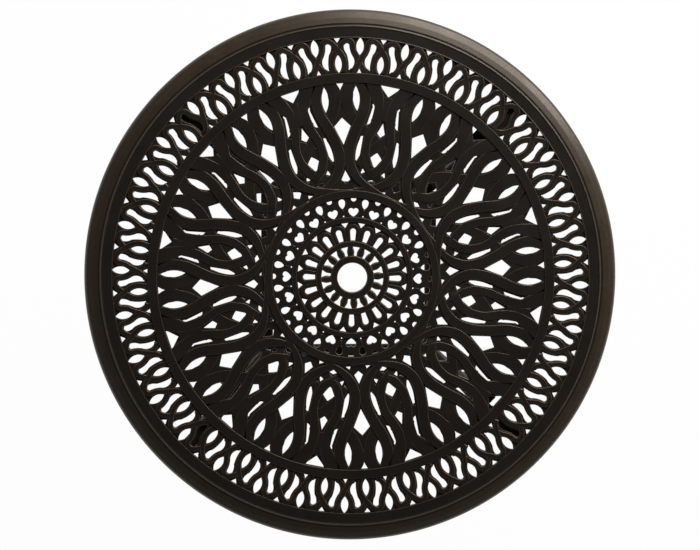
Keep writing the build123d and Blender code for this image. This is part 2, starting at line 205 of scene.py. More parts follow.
@dataclass(frozen=True)
class PowderCoat(Finish):
    """Dark bronze powder coat baked on a sand casting.

    Thick and satin: it looks almost black on flats, warm brown where hands and moulds have worn the edges,
    with a slight orange peel and the soft unevenness of the casting under it. The worn brown is also painted
    highlight on rounded edges, and painted sheen all over the rim's fall.
    """

    name: str = "dark_bronze_powder_coat"
    roughness: tuple[float, float] = (0.33, 0.43)
    bump: float = 0.22
    bump_mm: float = 0.25
    gloss_span: tuple[float, float] = (0.3, 0.7)
    coat: str = "#191614"
    coat_warm: str = "#211B17"
    # Worn brown of the edges, which also serves as painted highlight on edges and painted sheen on the rim's fall
    rubbed_and_highlight: str = "#655036"
    sheen: str = "#FBEEDF"
    specular: float = 0.5
    mottle: Noise = (70.0, 4.0, 0.6)
    # Real orange peel is about 1 mm. It is drawn coarser so that it shows.
    peel: Noise = (3.0, 2.0, 0.5)
    casting: Noise = (18.0, 3.0, 0.55)
    casting_share: float = 1.6
    breakup: Noise = (9.0, 3.0, 0.65)
    # Over this span of the breakup, the share of the worn brown and painted highlight that shows rises from the first
    # value to the second
    breakup_span: tuple[float, float] = (0.3, 0.65)
    breakup_share: tuple[float, float] = (0.6, 1.0)

    def build(self) -> bpy.types.Material:
        """Make the coat's material: mottled colour, worn edges and painted highlight from a point attribute, and peel
        bump.

        Returns:
            The material.
        """
        noises = self.begin(self.mottle, self.peel, self.casting, self.breakup)
        material, tree, (mottle, peel, casting, breakup) = noises
        # Share of the worn brown at each point: worn edges, painted highlight on edges and painted sheen on the rim's
        # fall
        wear_and_highlight = add_node(tree, "ShaderNodeAttribute", {"attribute_name": "wear_and_highlight"}).outputs["Fac"]
        span = dict(zip(RANGE, self.breakup_span + self.breakup_share))
        patchy = add_node(tree, "ShaderNodeMapRange", inputs=span, links={"Value": breakup})
        rubbed_and_highlight = add_node(
            tree,
            "ShaderNodeMath",
            {"operation": "MULTIPLY", "use_clamp": True},
            links={0: wear_and_highlight, 1: patchy.outputs["Result"]},
        )
        tones = {6: linear(self.coat), 7: linear(self.coat_warm)}
        tone = add_node(tree, "ShaderNodeMix", {"data_type": "RGBA"}, tones, {0: mottle})
        colour = add_node(
            tree,
            "ShaderNodeMix",
            {"data_type": "RGBA"},
            {7: linear(self.rubbed_and_highlight)},
            {0: rubbed_and_highlight.outputs["Value"], 6: tone.outputs[2]},
        )
        uneven = add_node(
            tree, "ShaderNodeMath", {"operation": "MULTIPLY_ADD"}, {1: self.casting_share}, {0: casting, 2: peel}
        )
        sheen = {"Specular Tint": linear(self.sheen), "Specular IOR Level": self.specular}
        self.end(tree, colour.outputs[2], mottle, uneven.outputs["Value"], sheen)
        return material


@dataclass(frozen=True)
class ZincPlate(Finish):
    """Zinc plate on steel fasteners: bright grey metal with cloudy spots, a little blue, and fine tool marks."""

    name: str = "bright_zinc_plate"
    roughness: tuple[float, float] = (0.28, 0.46)
    bump: float = 0.2
    bump_mm: float = 0.05
    zinc: str = "#B4B6B7"
    dulled: str = "#8C8C88"
    cloud: Noise = (4.0, 4.0, 0.5)
    grain: Noise = (0.8, 2.0, 0.5)

    def build(self) -> bpy.types.Material:
        """Make the plated metal's material from two noises.

        Returns:
            The material.
        """
        material, tree, (cloud, grain) = self.begin(self.cloud, self.grain)
        tones = {6: linear(self.zinc), 7: linear(self.dulled)}
        colour = add_node(tree, "ShaderNodeMix", {"data_type": "RGBA"}, tones, {0: cloud})
        self.end(tree, colour.outputs[2], cloud, grain, {"Metallic": 1.0})
        return material


@dataclass(frozen=True)
class MouldedNylon(Finish):
    """Black nylon of the feet: matt and slightly grainy from the mould, greyer where it has been scuffed."""

    name: str = "black_moulded_nylon"
    roughness: tuple[float, float] = (0.48, 0.66)
    bump: float = 0.3
    bump_mm: float = 0.1
    nylon: str = "#121213"
    scuffed: str = "#2B2A29"
    scuff: Noise = (6.0, 5.0, 0.7)
    # The scuffs show over this span of their noise
    scuff_span: tuple[float, float] = (0.55, 0.8)
    grain: Noise = (0.7, 1.0, 0.5)

    def build(self) -> bpy.types.Material:
        """Make the nylon's material from a scuff noise and a grain noise.

        Returns:
            The material.
        """
        material, tree, (scuff, grain) = self.begin(self.scuff, self.grain)
        span = dict(zip(RANGE, self.scuff_span))
        share = add_node(tree, "ShaderNodeMapRange", inputs=span, links={"Value": scuff})
        tones = {6: linear(self.nylon), 7: linear(self.scuffed)}
        colour = add_node(tree, "ShaderNodeMix", {"data_type": "RGBA"}, tones, {0: share.outputs["Result"]})
        self.end(tree, colour.outputs[2], scuff, grain)
        return material


@dataclass(frozen=True)
class Finishes:
    """The built material of each slot, and a duller copy of the coat that paints shade on the frame under the top."""

    by_slot: dict[Slot, bpy.types.Material]
    shaded_copy: bpy.types.Material

    @classmethod
    def build(cls) -> "Finishes":
        """Build every finish once.

        Returns:
            The finishes.
        """
        return cls(
            {
                Slot.COATED_ALUMINIUM: PowderCoat().build(),
                Slot.ZINC_STEEL: ZincPlate().build(),
                Slot.NYLON: MouldedNylon().build(),
            },
            # Painted shade: the same coat with less specular and more roughness, so legs, brackets and frame look as
            # dark as in the top's shadow
            PowderCoat("shaded_copy_dark_bronze_powder_coat", specular=0.13, roughness=(0.6, 0.72)).build(),
        )


def turn_matrices(angles: Array) -> Array:
    """Matrices that turn rows of plane points anticlockwise about the origin: row (c, s) over row (-s, c).

    Args:
        angles: one angle or several, in degrees.

    Returns:
        One matrix for each angle.
    """
    turn = np.radians(np.atleast_1d(angles))
    c, s = np.cos(turn), np.sin(turn)
    return np.stack([np.stack([c, s], -1), np.stack([-s, c], -1)], 1)


def unit(vectors: Array) -> Array:
    """Vectors of length 1 in the same directions, row by row."""
    return vectors / np.linalg.norm(vectors, axis=1, keepdims=True)


@dataclass
class Shell:
    """Closed surface in millimetres: points, quads, triangles, and each point's share of worn colour, which is worn
    edges and painted highlight.
    """

    points: Array
    quads: Array
    triangles: Array
    wear_and_highlight: Array

    def volume(self) -> float:
        """Sum of the tetrahedra between each triangle and the origin.

        Returns:
            The volume, below zero if the faces look inwards.
        """
        split = np.concatenate([self.quads[:, [0, 1, 2]], self.quads[:, [0, 2, 3]], self.triangles])
        a, b, c = (self.points[split[:, i]] for i in range(3))
        return float(np.einsum("ij,ij->i", a, np.cross(b, c)).sum() / 6)

    def outward(self) -> "Shell":
        """The same shell with its faces turned outwards, told by the sign of its volume."""
        if self.volume() >= 0:
            return self
        return Shell(self.points, self.quads[:, ::-1], self.triangles[:, ::-1], self.wear_and_highlight)

    def mirrored(self) -> "Shell":
        """Reflection across the X axis, with the faces turned outwards again."""
        return Shell(self.points * ACROSS_X, self.quads[:, ::-1], self.triangles[:, ::-1], self.wear_and_highlight)

    def moved(self, x: float) -> "Shell":
        """The same shell moved along the X axis."""
        return Shell(self.points + np.array([x, 0.0, 0.0]), self.quads, self.triangles, self.wear_and_highlight)

    def around(self, angles: Array) -> "Shell":
        """Copies turned about the Z axis.

        Args:
            angles: turn of each copy in degrees.

        Returns:
            All copies in one shell.
        """
        turns = turn_matrices(angles)
        count = len(turns)
        height = np.broadcast_to(self.points[:, 2:], (count, len(self.points), 1))
        points = np.concatenate([self.points[:, :2] @ turns, height], axis=-1).reshape(-1, 3)
        shift = (np.arange(count) * len(self.points))[:, None, None]
        quads = (self.quads[None] + shift).reshape(-1, 4)
        triangles = (self.triangles[None] + shift).reshape(-1, 3)
        return Shell(points, quads, triangles, np.tile(self.wear_and_highlight, count))

    @staticmethod
    def joined(*shells: "Shell") -> "Shell":
        """Join several shells, each still closed.

        Args:
            shells: the shells.

        Returns:
            All of them in one.
        """
        starts = np.cumsum([0] + [len(shell.points) for shell in shells[:-1]])
        return Shell(
            np.concatenate([shell.points for shell in shells]),
            np.concatenate([shell.quads + start for shell, start in zip(shells, starts)]),
            np.concatenate([shell.triangles + start for shell, start in zip(shells, starts)]),
            np.concatenate([shell.wear_and_highlight for shell in shells]),
        )

    def to_object(self, name: str, material: bpy.types.Material) -> bpy.types.Object:
        """Put the shell into a smooth shaded mesh object at the origin.

        Args:
            name: name of the piece.
            material: its finish.

        Returns:
            The object, linked to the scene.
        """
        mesh = bpy.data.meshes.new(name)
        mesh.vertices.add(len(self.points))
        mesh.vertices.foreach_set("co", (self.points * MM).astype(np.float32).ravel())
        corners = np.concatenate([self.quads.ravel(), self.triangles.ravel()]).astype(np.int32)
        totals = np.repeat([4, 3], [len(self.quads), len(self.triangles)])
        starts = (np.cumsum(totals) - totals).astype(np.int32)
        mesh.loops.add(len(corners))
        mesh.loops.foreach_set("vertex_index", corners)
        mesh.polygons.add(len(totals))
        mesh.polygons.foreach_set("loop_start", starts)
        mesh.polygons.foreach_set("use_smooth", np.ones(len(totals), dtype=bool))
        mesh.update(calc_edges=True)
        # The share of worn colour goes to the material as a point attribute; it paints highlight as well as worn edges
        mesh.attributes.new("wear_and_highlight", "FLOAT", "POINT").data.foreach_set("value", self.wear_and_highlight.astype(np.float32))
        mesh.materials.append(material)
        piece = bpy.data.objects.new(name, mesh)
        bpy.context.scene.collection.objects.link(piece)
        return piece


def grid_quads(rows: int, columns: int, close_rows: bool, close_columns: bool) -> Array:
    """Quads between neighbouring points of a grid stored row by row.

    Args:
        rows: number of rows.
        columns: number of points in a row.
        close_rows: whether the last row joins the first.
        close_columns: whether each row is a loop.

    Returns:
        Point numbers of the quads.
    """
    row = np.arange(rows if close_rows else rows - 1)[:, None]
    column = np.arange(columns if close_columns else columns - 1)[None, :]
    next_row, next_column = (row + 1) % rows, (column + 1) % columns
    corners = (
        row * columns + column,
        next_row * columns + column,
        next_row * columns + next_column,
        row * columns + next_column,
    )
    return np.stack(np.broadcast_arrays(*corners), -1).reshape(-1, 4)


def swept(centres: Array, across: Array, up: Array, u: Array, v: Array, wear_and_highlight: Array) -> Shell:
    """Carry a closed profile along a path and close both ends.

    A point is centre + u * across + v * up, with u and v from the profile at that station.

    Args:
        centres: path points, stations by 3.
        across: unit vectors of the profile's first axis, stations by 3.
        up: unit vectors of its second axis, stations by 3.
        u: profile along the first axis, stations by profile points.
        v: profile along the second axis, stations by profile points.
        wear_and_highlight: each profile point's share of worn colour, as worn edges and painted highlight.

    Returns:
        The closed shell.
    """
    stations, count = u.shape
    rings = centres[:, None] + u[..., None] * across[:, None] + v[..., None] * up[:, None]
    ends = rings[[0, -1]].mean(axis=1)
    points = np.concatenate([rings.reshape(-1, 3), ends])
    quads = grid_quads(stations, count, False, True)
    here = np.arange(count)
    after = (here + 1) % count
    last = (stations - 1) * count
    first_fan = np.stack([np.full(count, stations * count), here, after], -1)
    last_fan = np.stack([np.full(count, stations * count + 1), last + after, last + here], -1)
    ring_wear_and_highlight = np.broadcast_to(wear_and_highlight, (stations, count)).ravel()
    shell = Shell(points, quads, np.concatenate([first_fan, last_fan]), np.append(ring_wear_and_highlight, [0.0, 0.0]))
    return shell.outward()


def turned(profile: Array, wear_and_highlight: Array, segments: int) -> Shell:
    """Turn a closed profile about the Z axis.

    A point is (radius cos a, radius sin a, height), with a in equal steps round the circle.

    Args:
        profile: radius and height of the profile's points.
        wear_and_highlight: each one's share of worn colour, as worn edges and painted highlight.
        segments: steps round the circle.

    Returns:
        The ring shaped shell.
    """
    angle = np.linspace(0, 2 * np.pi, segments, endpoint=False)[:, None]
    radius, height = profile[None, :, 0], profile[None, :, 1]
    grid = np.stack(np.broadcast_arrays(radius * np.cos(angle), radius * np.sin(angle), height), -1)
    quads = grid_quads(segments, len(profile), True, True)
    return Shell(grid.reshape(-1, 3), quads, NO_TRIANGLES, np.tile(wear_and_highlight, segments)).outward()


def rounded(corners: Array, steps: int = 4, hold: float = 0.3) -> tuple[Array, Array]:
    """Round the corners of a closed outline.

    Each corner becomes an arc tangent to both sides, turned from the incoming side's normal to the
    outgoing one's. A point just before and after it keeps the flats flat under smooth shading.

    Args:
        corners: x, y, fillet radius and share of worn colour of each corner, as worn edges and painted highlight.
        steps: segments of each arc.
        hold: distance of the points that hold the flats.

    Returns:
        The outline's points, and their share of worn colour.
    """
    place, fillet, wear_and_highlight = corners[:, :2], np.maximum(corners[:, 2], LEAST_FILLET), corners[:, 3]
    before = unit(place - np.roll(place, 1, axis=0))
    after = np.roll(before, -1, axis=0)
    cross = before[:, 0] * after[:, 1] - before[:, 1] * after[:, 0]
    turn = np.arctan2(cross, (before * after).sum(axis=1))
    side = np.where(turn >= 0, 1.0, -1.0)
    reach = fillet * np.tan(np.abs(turn) / 2)
    start = place - before * reach[:, None]
    normal = np.stack([-before[:, 1], before[:, 0]], -1) * side[:, None]
    centre = start + normal * fillet[:, None]
    share = np.linspace(0, 1, steps + 1)[None, :] * turn[:, None]
    c, s = np.cos(share), np.sin(share)
    x, y = -normal[:, :1], -normal[:, 1:]
    spoke = np.stack([c * x - s * y, s * x + c * y], -1)
    arcs = centre[:, None] + spoke * fillet[:, None, None]
    held_before = (start - before * hold)[:, None]
    held_after = (place + after * (reach + hold)[:, None])[:, None]
    points = np.concatenate([held_before, arcs, held_after], axis=1).reshape(-1, 2)
    rub_and_highlight = np.zeros((len(corners), steps + 3))
    rub_and_highlight[:, 1:-1] = wear_and_highlight[:, None]
    return points, rub_and_highlight.ravel()


def hermite(p0: Array, p1: Array, m0: Array, m1: Array, t: Array) -> Array:
    """Cubic from one point to another with given tangents at its ends.

    It is (2t3 - 3t2 + 1) p0 + (t3 - 2t2 + t) m0 + (3t2 - 2t3) p1 + (t3 - t2) m1.

    Args:
        p0: first point.
        p1: last point.
        m0: tangent at the first point.
        m1: tangent at the last point.
        t: where to work it out, from 0 to 1.

    Returns:
        Points of the cubic.
    """
    return (
        (2 * t**3 - 3 * t**2 + 1) * p0
        + (t**3 - 2 * t**2 + t) * m0
        + (3 * t**2 - 2 * t**3) * p1
        + (t**3 - t**2) * m1
    )


def smooth_path(controls: Array, spacing: float) -> Array:
    """Smooth curve through control points, at even steps.

    Between two points it is the cubic whose end tangents point along the chords of their neighbours,
    with the parameter in chord length.

    Args:
        controls: points the curve passes through.
        spacing: length of a step.

    Returns:
        Points of the curve.
    """
    chord = np.linalg.norm(np.diff(controls, axis=0), axis=1)
    knots = np.concatenate([[0], np.cumsum(chord)])
    tangent = np.gradient(controls, knots, axis=0)
    fine = np.linspace(0, knots[-1], max(int(knots[-1] / spacing) + 1, 4))
    cell = np.clip(np.searchsorted(knots, fine, side="right") - 1, 0, len(chord) - 1)
    h = chord[cell][:, None]
    t = ((fine - knots[cell]) / chord[cell])[:, None]
    return hermite(controls[cell], controls[cell + 1], tangent[cell] * h, tangent[cell + 1] * h, t)


def polar(points: Array) -> Array:
    """Points in the plane from radii in millimetres and angles in degrees."""
    angle = np.radians(points[:, 1])
    return np.stack([points[:, 0] * np.cos(angle), points[:, 0] * np.sin(angle)], -1)


def lengthened(path: Array, extra: float) -> Array:
    """A path with both ends carried straight on.

    Args:
        path: points of the path.
        extra: added length at each end.

    Returns:
        The longer path.
    """
    ends = extra * unit(path[[0, -1]] - path[[1, -2]])
    return np.concatenate([path[:1] + ends[:1], path, path[-1:] + ends[1:]])


def ease(before: Array, after: float, place: Array, start: float, end: float) -> Array:
    """Pass smoothly from one value to another along a path.

    The share of the second value is t t (3 - 2 t), with t from 0 to 1 between the two places.

    Args:
        before: values up to the start.
        after: value from the end on.
        place: position of each point.
        start: position where the change starts.
        end: position where it ends.

    Returns:
        The values along the path.
    """
    t = np.clip((place - start) / (end - start), 0, 1)
    return before + t * t * (3 - 2 * t) * (after - before)


@dataclass(frozen=True)
class StrapSection:
    """Section of a cast strap: flat on top with rounded shoulders, nearly square below."""

    shoulder: float = 1.7
    lower: float = 0.7
    hold: float = 0.3
    # Worn colour on the shoulders, which is also painted highlight
    shoulder_wear_and_highlight: float = 1.0
    # Share of the worn colour at each point, from the underside up over the shoulder to the flat; on the shoulder it
    # is worn edge and painted highlight
    rub_and_highlight: tuple[float, ...] = (0.0, 0.0, 0.1, 0.7, 1.0, 0.55, 0.0)

    def profile(self) -> tuple[Array, Array, Array, Array, Array]:
        """Work out the section's points once for any width and height.

        Returns:
            For each point the share of the half width, the offset added to that, the share of the way from the
            bottom to the top, the offset added to that, and share of worn colour.
        """
        top_u, top_v = self.shoulder * (np.cos(QUARTER) - 1), self.shoulder * (np.sin(QUARTER) - 1)
        low_u, low_v = np.array([-self.lower, 0.0]), np.array([0.0, self.lower])
        u_right = np.concatenate([low_u, top_u, [-self.shoulder - self.hold]])
        v_right = np.concatenate([low_v, top_v, [0.0]])
        level = np.where(np.arange(len(u_right)) < len(low_u), 0.0, 1.0)
        rub_and_highlight = np.array(self.rub_and_highlight) * self.shoulder_wear_and_highlight
        side = np.repeat([1.0, -1.0], len(u_right))
        return (
            side,
            np.concatenate([u_right, -u_right[::-1]]),
            np.concatenate([level, level[::-1]]),
            np.concatenate([v_right, v_right[::-1]]),
            np.concatenate([rub_and_highlight, rub_and_highlight[::-1]]),
        )


def strap(path: Array, half_width: Array, bottom: Array, top: Array, section: StrapSection) -> Shell:
    """Carry a strap's section along a level path.

    Args:
        path: centre line in the plane.
        half_width: half of the strap's width at each point of the path, or one value.
        bottom: height of its underside, likewise.
        top: height of its upper face, likewise.
        section: form of the shoulders.

    Returns:
        The closed strap.
    """
    count = len(path)
    along = unit(np.gradient(path, axis=0))
    across = np.stack([along[:, 1], -along[:, 0], np.zeros(count)], -1)
    up = np.tile([0.0, 0.0, 1.0], (count, 1))
    half, low, high = (np.broadcast_to(value, count)[:, None] for value in (half_width, bottom, top))
    side, u_offset, level, v_offset, wear_and_highlight = section.profile()
    u = side * half + u_offset
    v = low + level * (high - low) + v_offset
    centres = np.concatenate([path, np.zeros((count, 1))], axis=1)
    return swept(centres, across, up, u, v, wear_and_highlight)


def arc_outline(corners: Array, steps: int) -> Array:
    """Outline of an opening whose sides may bow out.

    A side with bulge b is the arc through its ends and through a point b chords to the left of its middle,
    which spans the angle 4 atan(2 b).

    Args:
        corners: x, y and bulge of each corner, the bulge being that of the side that leaves it.
        steps: segments of each side.

    Returns:
        Points of the outline.
    """
    start, bulge = corners[:, :2], corners[:, 2]
    chord = np.roll(start, -1, axis=0) - start
    left = np.stack([-chord[:, 1], chord[:, 0]], -1)
    span = np.where(np.abs(bulge) < FLAT_ARC, FLAT_ARC, 4 * np.arctan(2 * bulge))[:, None]
    t = np.arange(steps)[None, :] / steps
    # Along and across the chord, on a circle arc that spans the angle
    x = 0.5 - np.sin(span * (0.5 - t)) / (2 * np.sin(span / 2))
    y = (np.cos(span * (0.5 - t)) - np.cos(span / 2)) / (2 * np.sin(span / 2))
    points = start[:, None] + x[..., None] * chord[:, None] + y[..., None] * left[:, None]
    return points.reshape(-1, 2)


def inset_normals(outline: Array) -> Array:
    """In-plane normals to the left of a closed outline, lengthened at corners so that offsets stay parallel.

    Args:
        outline: points of the outline.

    Returns:
        One vector for each point.
    """
    before = unit(outline - np.roll(outline, 1, axis=0))
    after = np.roll(before, -1, axis=0)
    normal_before = np.stack([-before[:, 1], before[:, 0]], -1)
    normal_after = np.stack([-after[:, 1], after[:, 0]], -1)
    middle = normal_before + normal_after
    return middle / np.maximum((middle * normal_after).sum(axis=1, keepdims=True), SHARP_LIMIT)


@dataclass(frozen=True)
class PlateEdge:
    """Rounded edge of a cast plate, at the rim and in every opening."""

    upper: float = 1.2
    lower: float = 0.7
    hold: float = 0.3
    wear_and_highlight: float = 0.8
    # Share of the worn colour at each point, from the upper face round and down to the lower face; round the edge it
    # is worn edge and painted highlight
    rub_and_highlight: tuple[float, ...] = (0.0, 0.5, 1.0, 0.7, 0.1, 0.0, 0.0)

    def profile(self, bottom: float, top: float) -> tuple[Array, Array, Array]:
        """Edge from the upper face, round and down the wall, to the lower face.

        Args:
            bottom: height of the lower face.
            top: height of the upper face.

        Returns:
            Distance into the plate, height and share of worn colour of its points.
        """
        quarter = QUARTER[::-1]
        inset = np.concatenate([[self.upper + self.hold], self.upper * (1 - np.cos(quarter)), [0.0, self.lower]])
        height = np.concatenate([[top], top - self.upper * (1 - np.sin(quarter)), [bottom + self.lower, bottom]])
        return inset, height, np.array(self.rub_and_highlight) * self.wear_and_highlight


def pierced_plate(outer: Array, holes: list[Array], bottom: float, top: float, edge: PlateEdge) -> Shell:
    """Flat plate with rounded edges, pierced by openings.

    The edge's profile is carried along every outline, towards the metal. The two flat faces span the first and
    last rows of those strips.

    Args:
        outer: outline of the plate.
        holes: outlines of its openings.
        bottom: height of its lower face.
        top: height of its upper face.
        edge: form of the edges.

    Returns:
        The closed plate.
    """
    inset, height, rub_and_highlight = edge.profile(bottom, top)
    rows = len(inset)
    points, quads, wear_and_highlight, upper, lower = [], [], [], [], []
    start = 0
    for index, outline in enumerate([outer, *holes]):
        closing = np.roll(outline, -1, axis=0)
        area = (outline[:, 0] * closing[:, 1] - outline[:, 1] * closing[:, 0]).sum()
        if (area > 0) != (index == 0):
            outline = outline[::-1]
        count = len(outline)
        flat = outline[None] + inset[:, None, None] * inset_normals(outline)[None]
        level = np.broadcast_to(height[:, None, None], (rows, count, 1))
        points.append(np.concatenate([flat, level], axis=-1).reshape(-1, 3))
        quads.append(grid_quads(rows, count, False, True) + start)
        wear_and_highlight.append(np.repeat(rub_and_highlight, count))
        upper.append(start + np.arange(count))
        lower.append(start + (rows - 1) * count + np.arange(count))
        start += rows * count
    points = np.concatenate(points)
    face = np.array(tessellate_polygon([[Vector(point) for point in points[ring]] for ring in upper]))
    upper, lower = np.concatenate(upper), np.concatenate(lower)
    a, b, c = (points[upper[face[:, i]], :2] for i in range(3))
    winding = (b - a)[:, 0] * (c - a)[:, 1] - (b - a)[:, 1] * (c - a)[:, 0]
    face = np.where(winding[:, None] >= 0, face, face[:, ::-1])
    triangles = np.concatenate([upper[face], lower[face][:, ::-1]])
    return Shell(points, np.concatenate(quads), triangles, np.concatenate(wear_and_highlight))


def circle(radius: float, segments: int) -> Array:
    """Points of a circle about the origin."""
    angle = np.linspace(0, 2 * np.pi, segments, endpoint=False)
    return radius * np.stack([np.cos(angle), np.sin(angle)], -1)


@dataclass(frozen=True)
class Pattern:
    """Openings repeated round a ring of the top.

    A corner of an opening has three numbers: how far across the ring it lies, from the inner edge to the outer,
    how far clockwise from the repeat's axis towards its border, both in percent, and the bulge of the side that
    leaves it. The coat fills every opening by a little on all sides.
    """

    inner: float
    outer: float
    repeats: int
    turn: float
    coat: float = 0.4
    side_steps: int = 7

    def angles(self) -> Array:
        """Axes of the repeats in degrees."""
        return self.turn + np.arange(self.repeats) * 360 / self.repeats

    def outline(self, corners: Table) -> Array:
        """Outline of one opening, with its repeat's axis along X.

        Args:
            corners: the opening's corners.

        Returns:
            Points of the outline, anticlockwise.
        """
        table = np.array(corners, dtype=float)
        radius = self.inner + (self.outer - self.inner) * table[:, 0] / 100
        degrees = -180 / self.repeats * table[:, 1] / 100
        place = polar(np.stack([radius, degrees], -1))
        points = arc_outline(np.concatenate([place, table[:, 2:]], axis=1), self.side_steps)[::-1]
        return points + self.coat * inset_normals(points)

    def holes(self, openings: tuple[Table, ...], pairs: tuple[Table, ...] = ()) -> list[Array]:
        """Outlines of all openings round the ring.

        Args:
            openings: openings that stand once in a repeat.
            pairs: openings that stand on both sides of its axis.

        Returns:
            One outline for each opening.
        """
        outlines = [self.outline(corners) for corners in openings + pairs]
        outlines += [self.outline(corners) * ACROSS_X[:2] for corners in pairs]
        turns = turn_matrices(self.angles())
        return [outline @ turn for outline in outlines for turn in turns]


@dataclass(frozen=True)
class RingPlate:
    """Flat cast ring that carries a pattern: its edges, their segments, its upper face and its rounding."""

    bore: float
    rim: float
    bore_segments: int
    rim_segments: int
    top: Level
    edge: PlateEdge

    def pierced(self, holes: list[Array]) -> Shell:
        """The plate with its openings.

        Args:
            holes: outlines of the openings.

        Returns:
            The closed plate.
        """
        bore, rim = circle(self.bore, self.bore_segments), circle(self.rim, self.rim_segments)
        return pierced_plate(rim, [bore, *holes], Level.CAST_BOTTOM.value, self.top.value, self.edge)


def tee_ring(
    inner: float, outer: float, rib: float, fillet: float, wear_and_highlight: tuple[float, float], segments: int
) -> Shell:
    """Flat cap over a seam with a rib below its middle, turned about the Z axis.

    Args:
        inner: inner radius of the cap.
        outer: outer radius of the cap.
        rib: thickness of the rib.
        fillet: rounding of the cap's upper edges.
        wear_and_highlight: share of worn colour on its outer and inner edges, as worn edges and painted highlight.
        segments: steps round the circle.

    Returns:
        The closed ring.
    """
    middle = (inner + outer) / 2
    top, cap, low = Level.RING_TOP.value, Level.SEAM_BOTTOM.value, Level.RIB_BOTTOM.value
    rib_inner, rib_outer = middle - rib / 2, middle + rib / 2
    corners = [
        (inner, cap, 0.3, 0.0),
        (rib_inner, cap, 0.5, 0.0),
        (rib_inner, low, 1.2, 0.2),
        (rib_outer, low, 1.2, 0.2),
        (rib_outer, cap, 0.5, 0.0),
        (outer, cap, 0.3, 0.0),
        (outer, top, fillet, wear_and_highlight[0]),
        (inner, top, fillet, wear_and_highlight[1]),
    ]
    return turned(*rounded(np.array(corners)), segments)


def square_ring(inner: float, outer: float, low: float, top: float, corners: Table, segments: int) -> Shell:
    """Ring with a rounded rectangle as its section, turned about the Z axis.

    Args:
        inner: inner radius.
        outer: outer radius.
        low: lower face.
        top: upper face.
        corners: fillet and share of worn colour of the corners: inner lower, outer lower, outer upper and inner upper.
        segments: steps round the circle.

    Returns:
        The closed ring.
    """
    places = [(inner, low), (outer, low), (outer, top), (inner, top)]
    return turned(*rounded(np.concatenate([np.array(places), np.array(corners)], axis=1)), segments)


@dataclass
class Workshop:
    """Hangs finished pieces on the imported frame."""

    finishes: Finishes
    weld_mm: float = 0.001
    bevel_mm: float = 0.3
    bevel_segments: int = 2

    def hang(
        self,
        shell: Shell,
        name: str,
        node: str,
        slot: Slot = Slot.COATED_ALUMINIUM,
        body: str = "table",
        shaded_copy: bool = False,
    ) -> None:
        """Make a piece from a shell, in place of a CAD node.

        Args:
            shell: the surface.
            name: name of the piece.
            node: CAD node that it stands for.
            slot: its material slot.
            body: CAD body that it rides on.
            shaded_copy: whether it has the duller copy of the coat, which paints shade on pieces under the top.
        """
        piece = shell.to_object(name, self.finishes.shaded_copy if shaded_copy else self.finishes.by_slot[slot])
        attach(piece, body)
        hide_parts(node)
        LOG.info("%s: %d quads, %d triangles", name, len(shell.quads), len(shell.triangles))

    def dress(self, node: str, slot: Slot) -> None:
        """Give a CAD node its finish and a small rounding of its edges.

        Args:
            node: name of the CAD node.
            slot: its material slot.
        """
        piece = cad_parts[node]
        piece.data.materials.clear()
        piece.data.materials.append(self.finishes.by_slot[slot])
        weld = piece.modifiers.new("weld", "WELD")
        weld.merge_threshold = self.weld_mm * MM
        bevel = piece.modifiers.new("bevel", "BEVEL")
        bevel.width = self.bevel_mm * MM
        bevel.segments = self.bevel_segments
        bevel.limit_method = "ANGLE"
        LOG.info("%s: CAD node dressed", node)


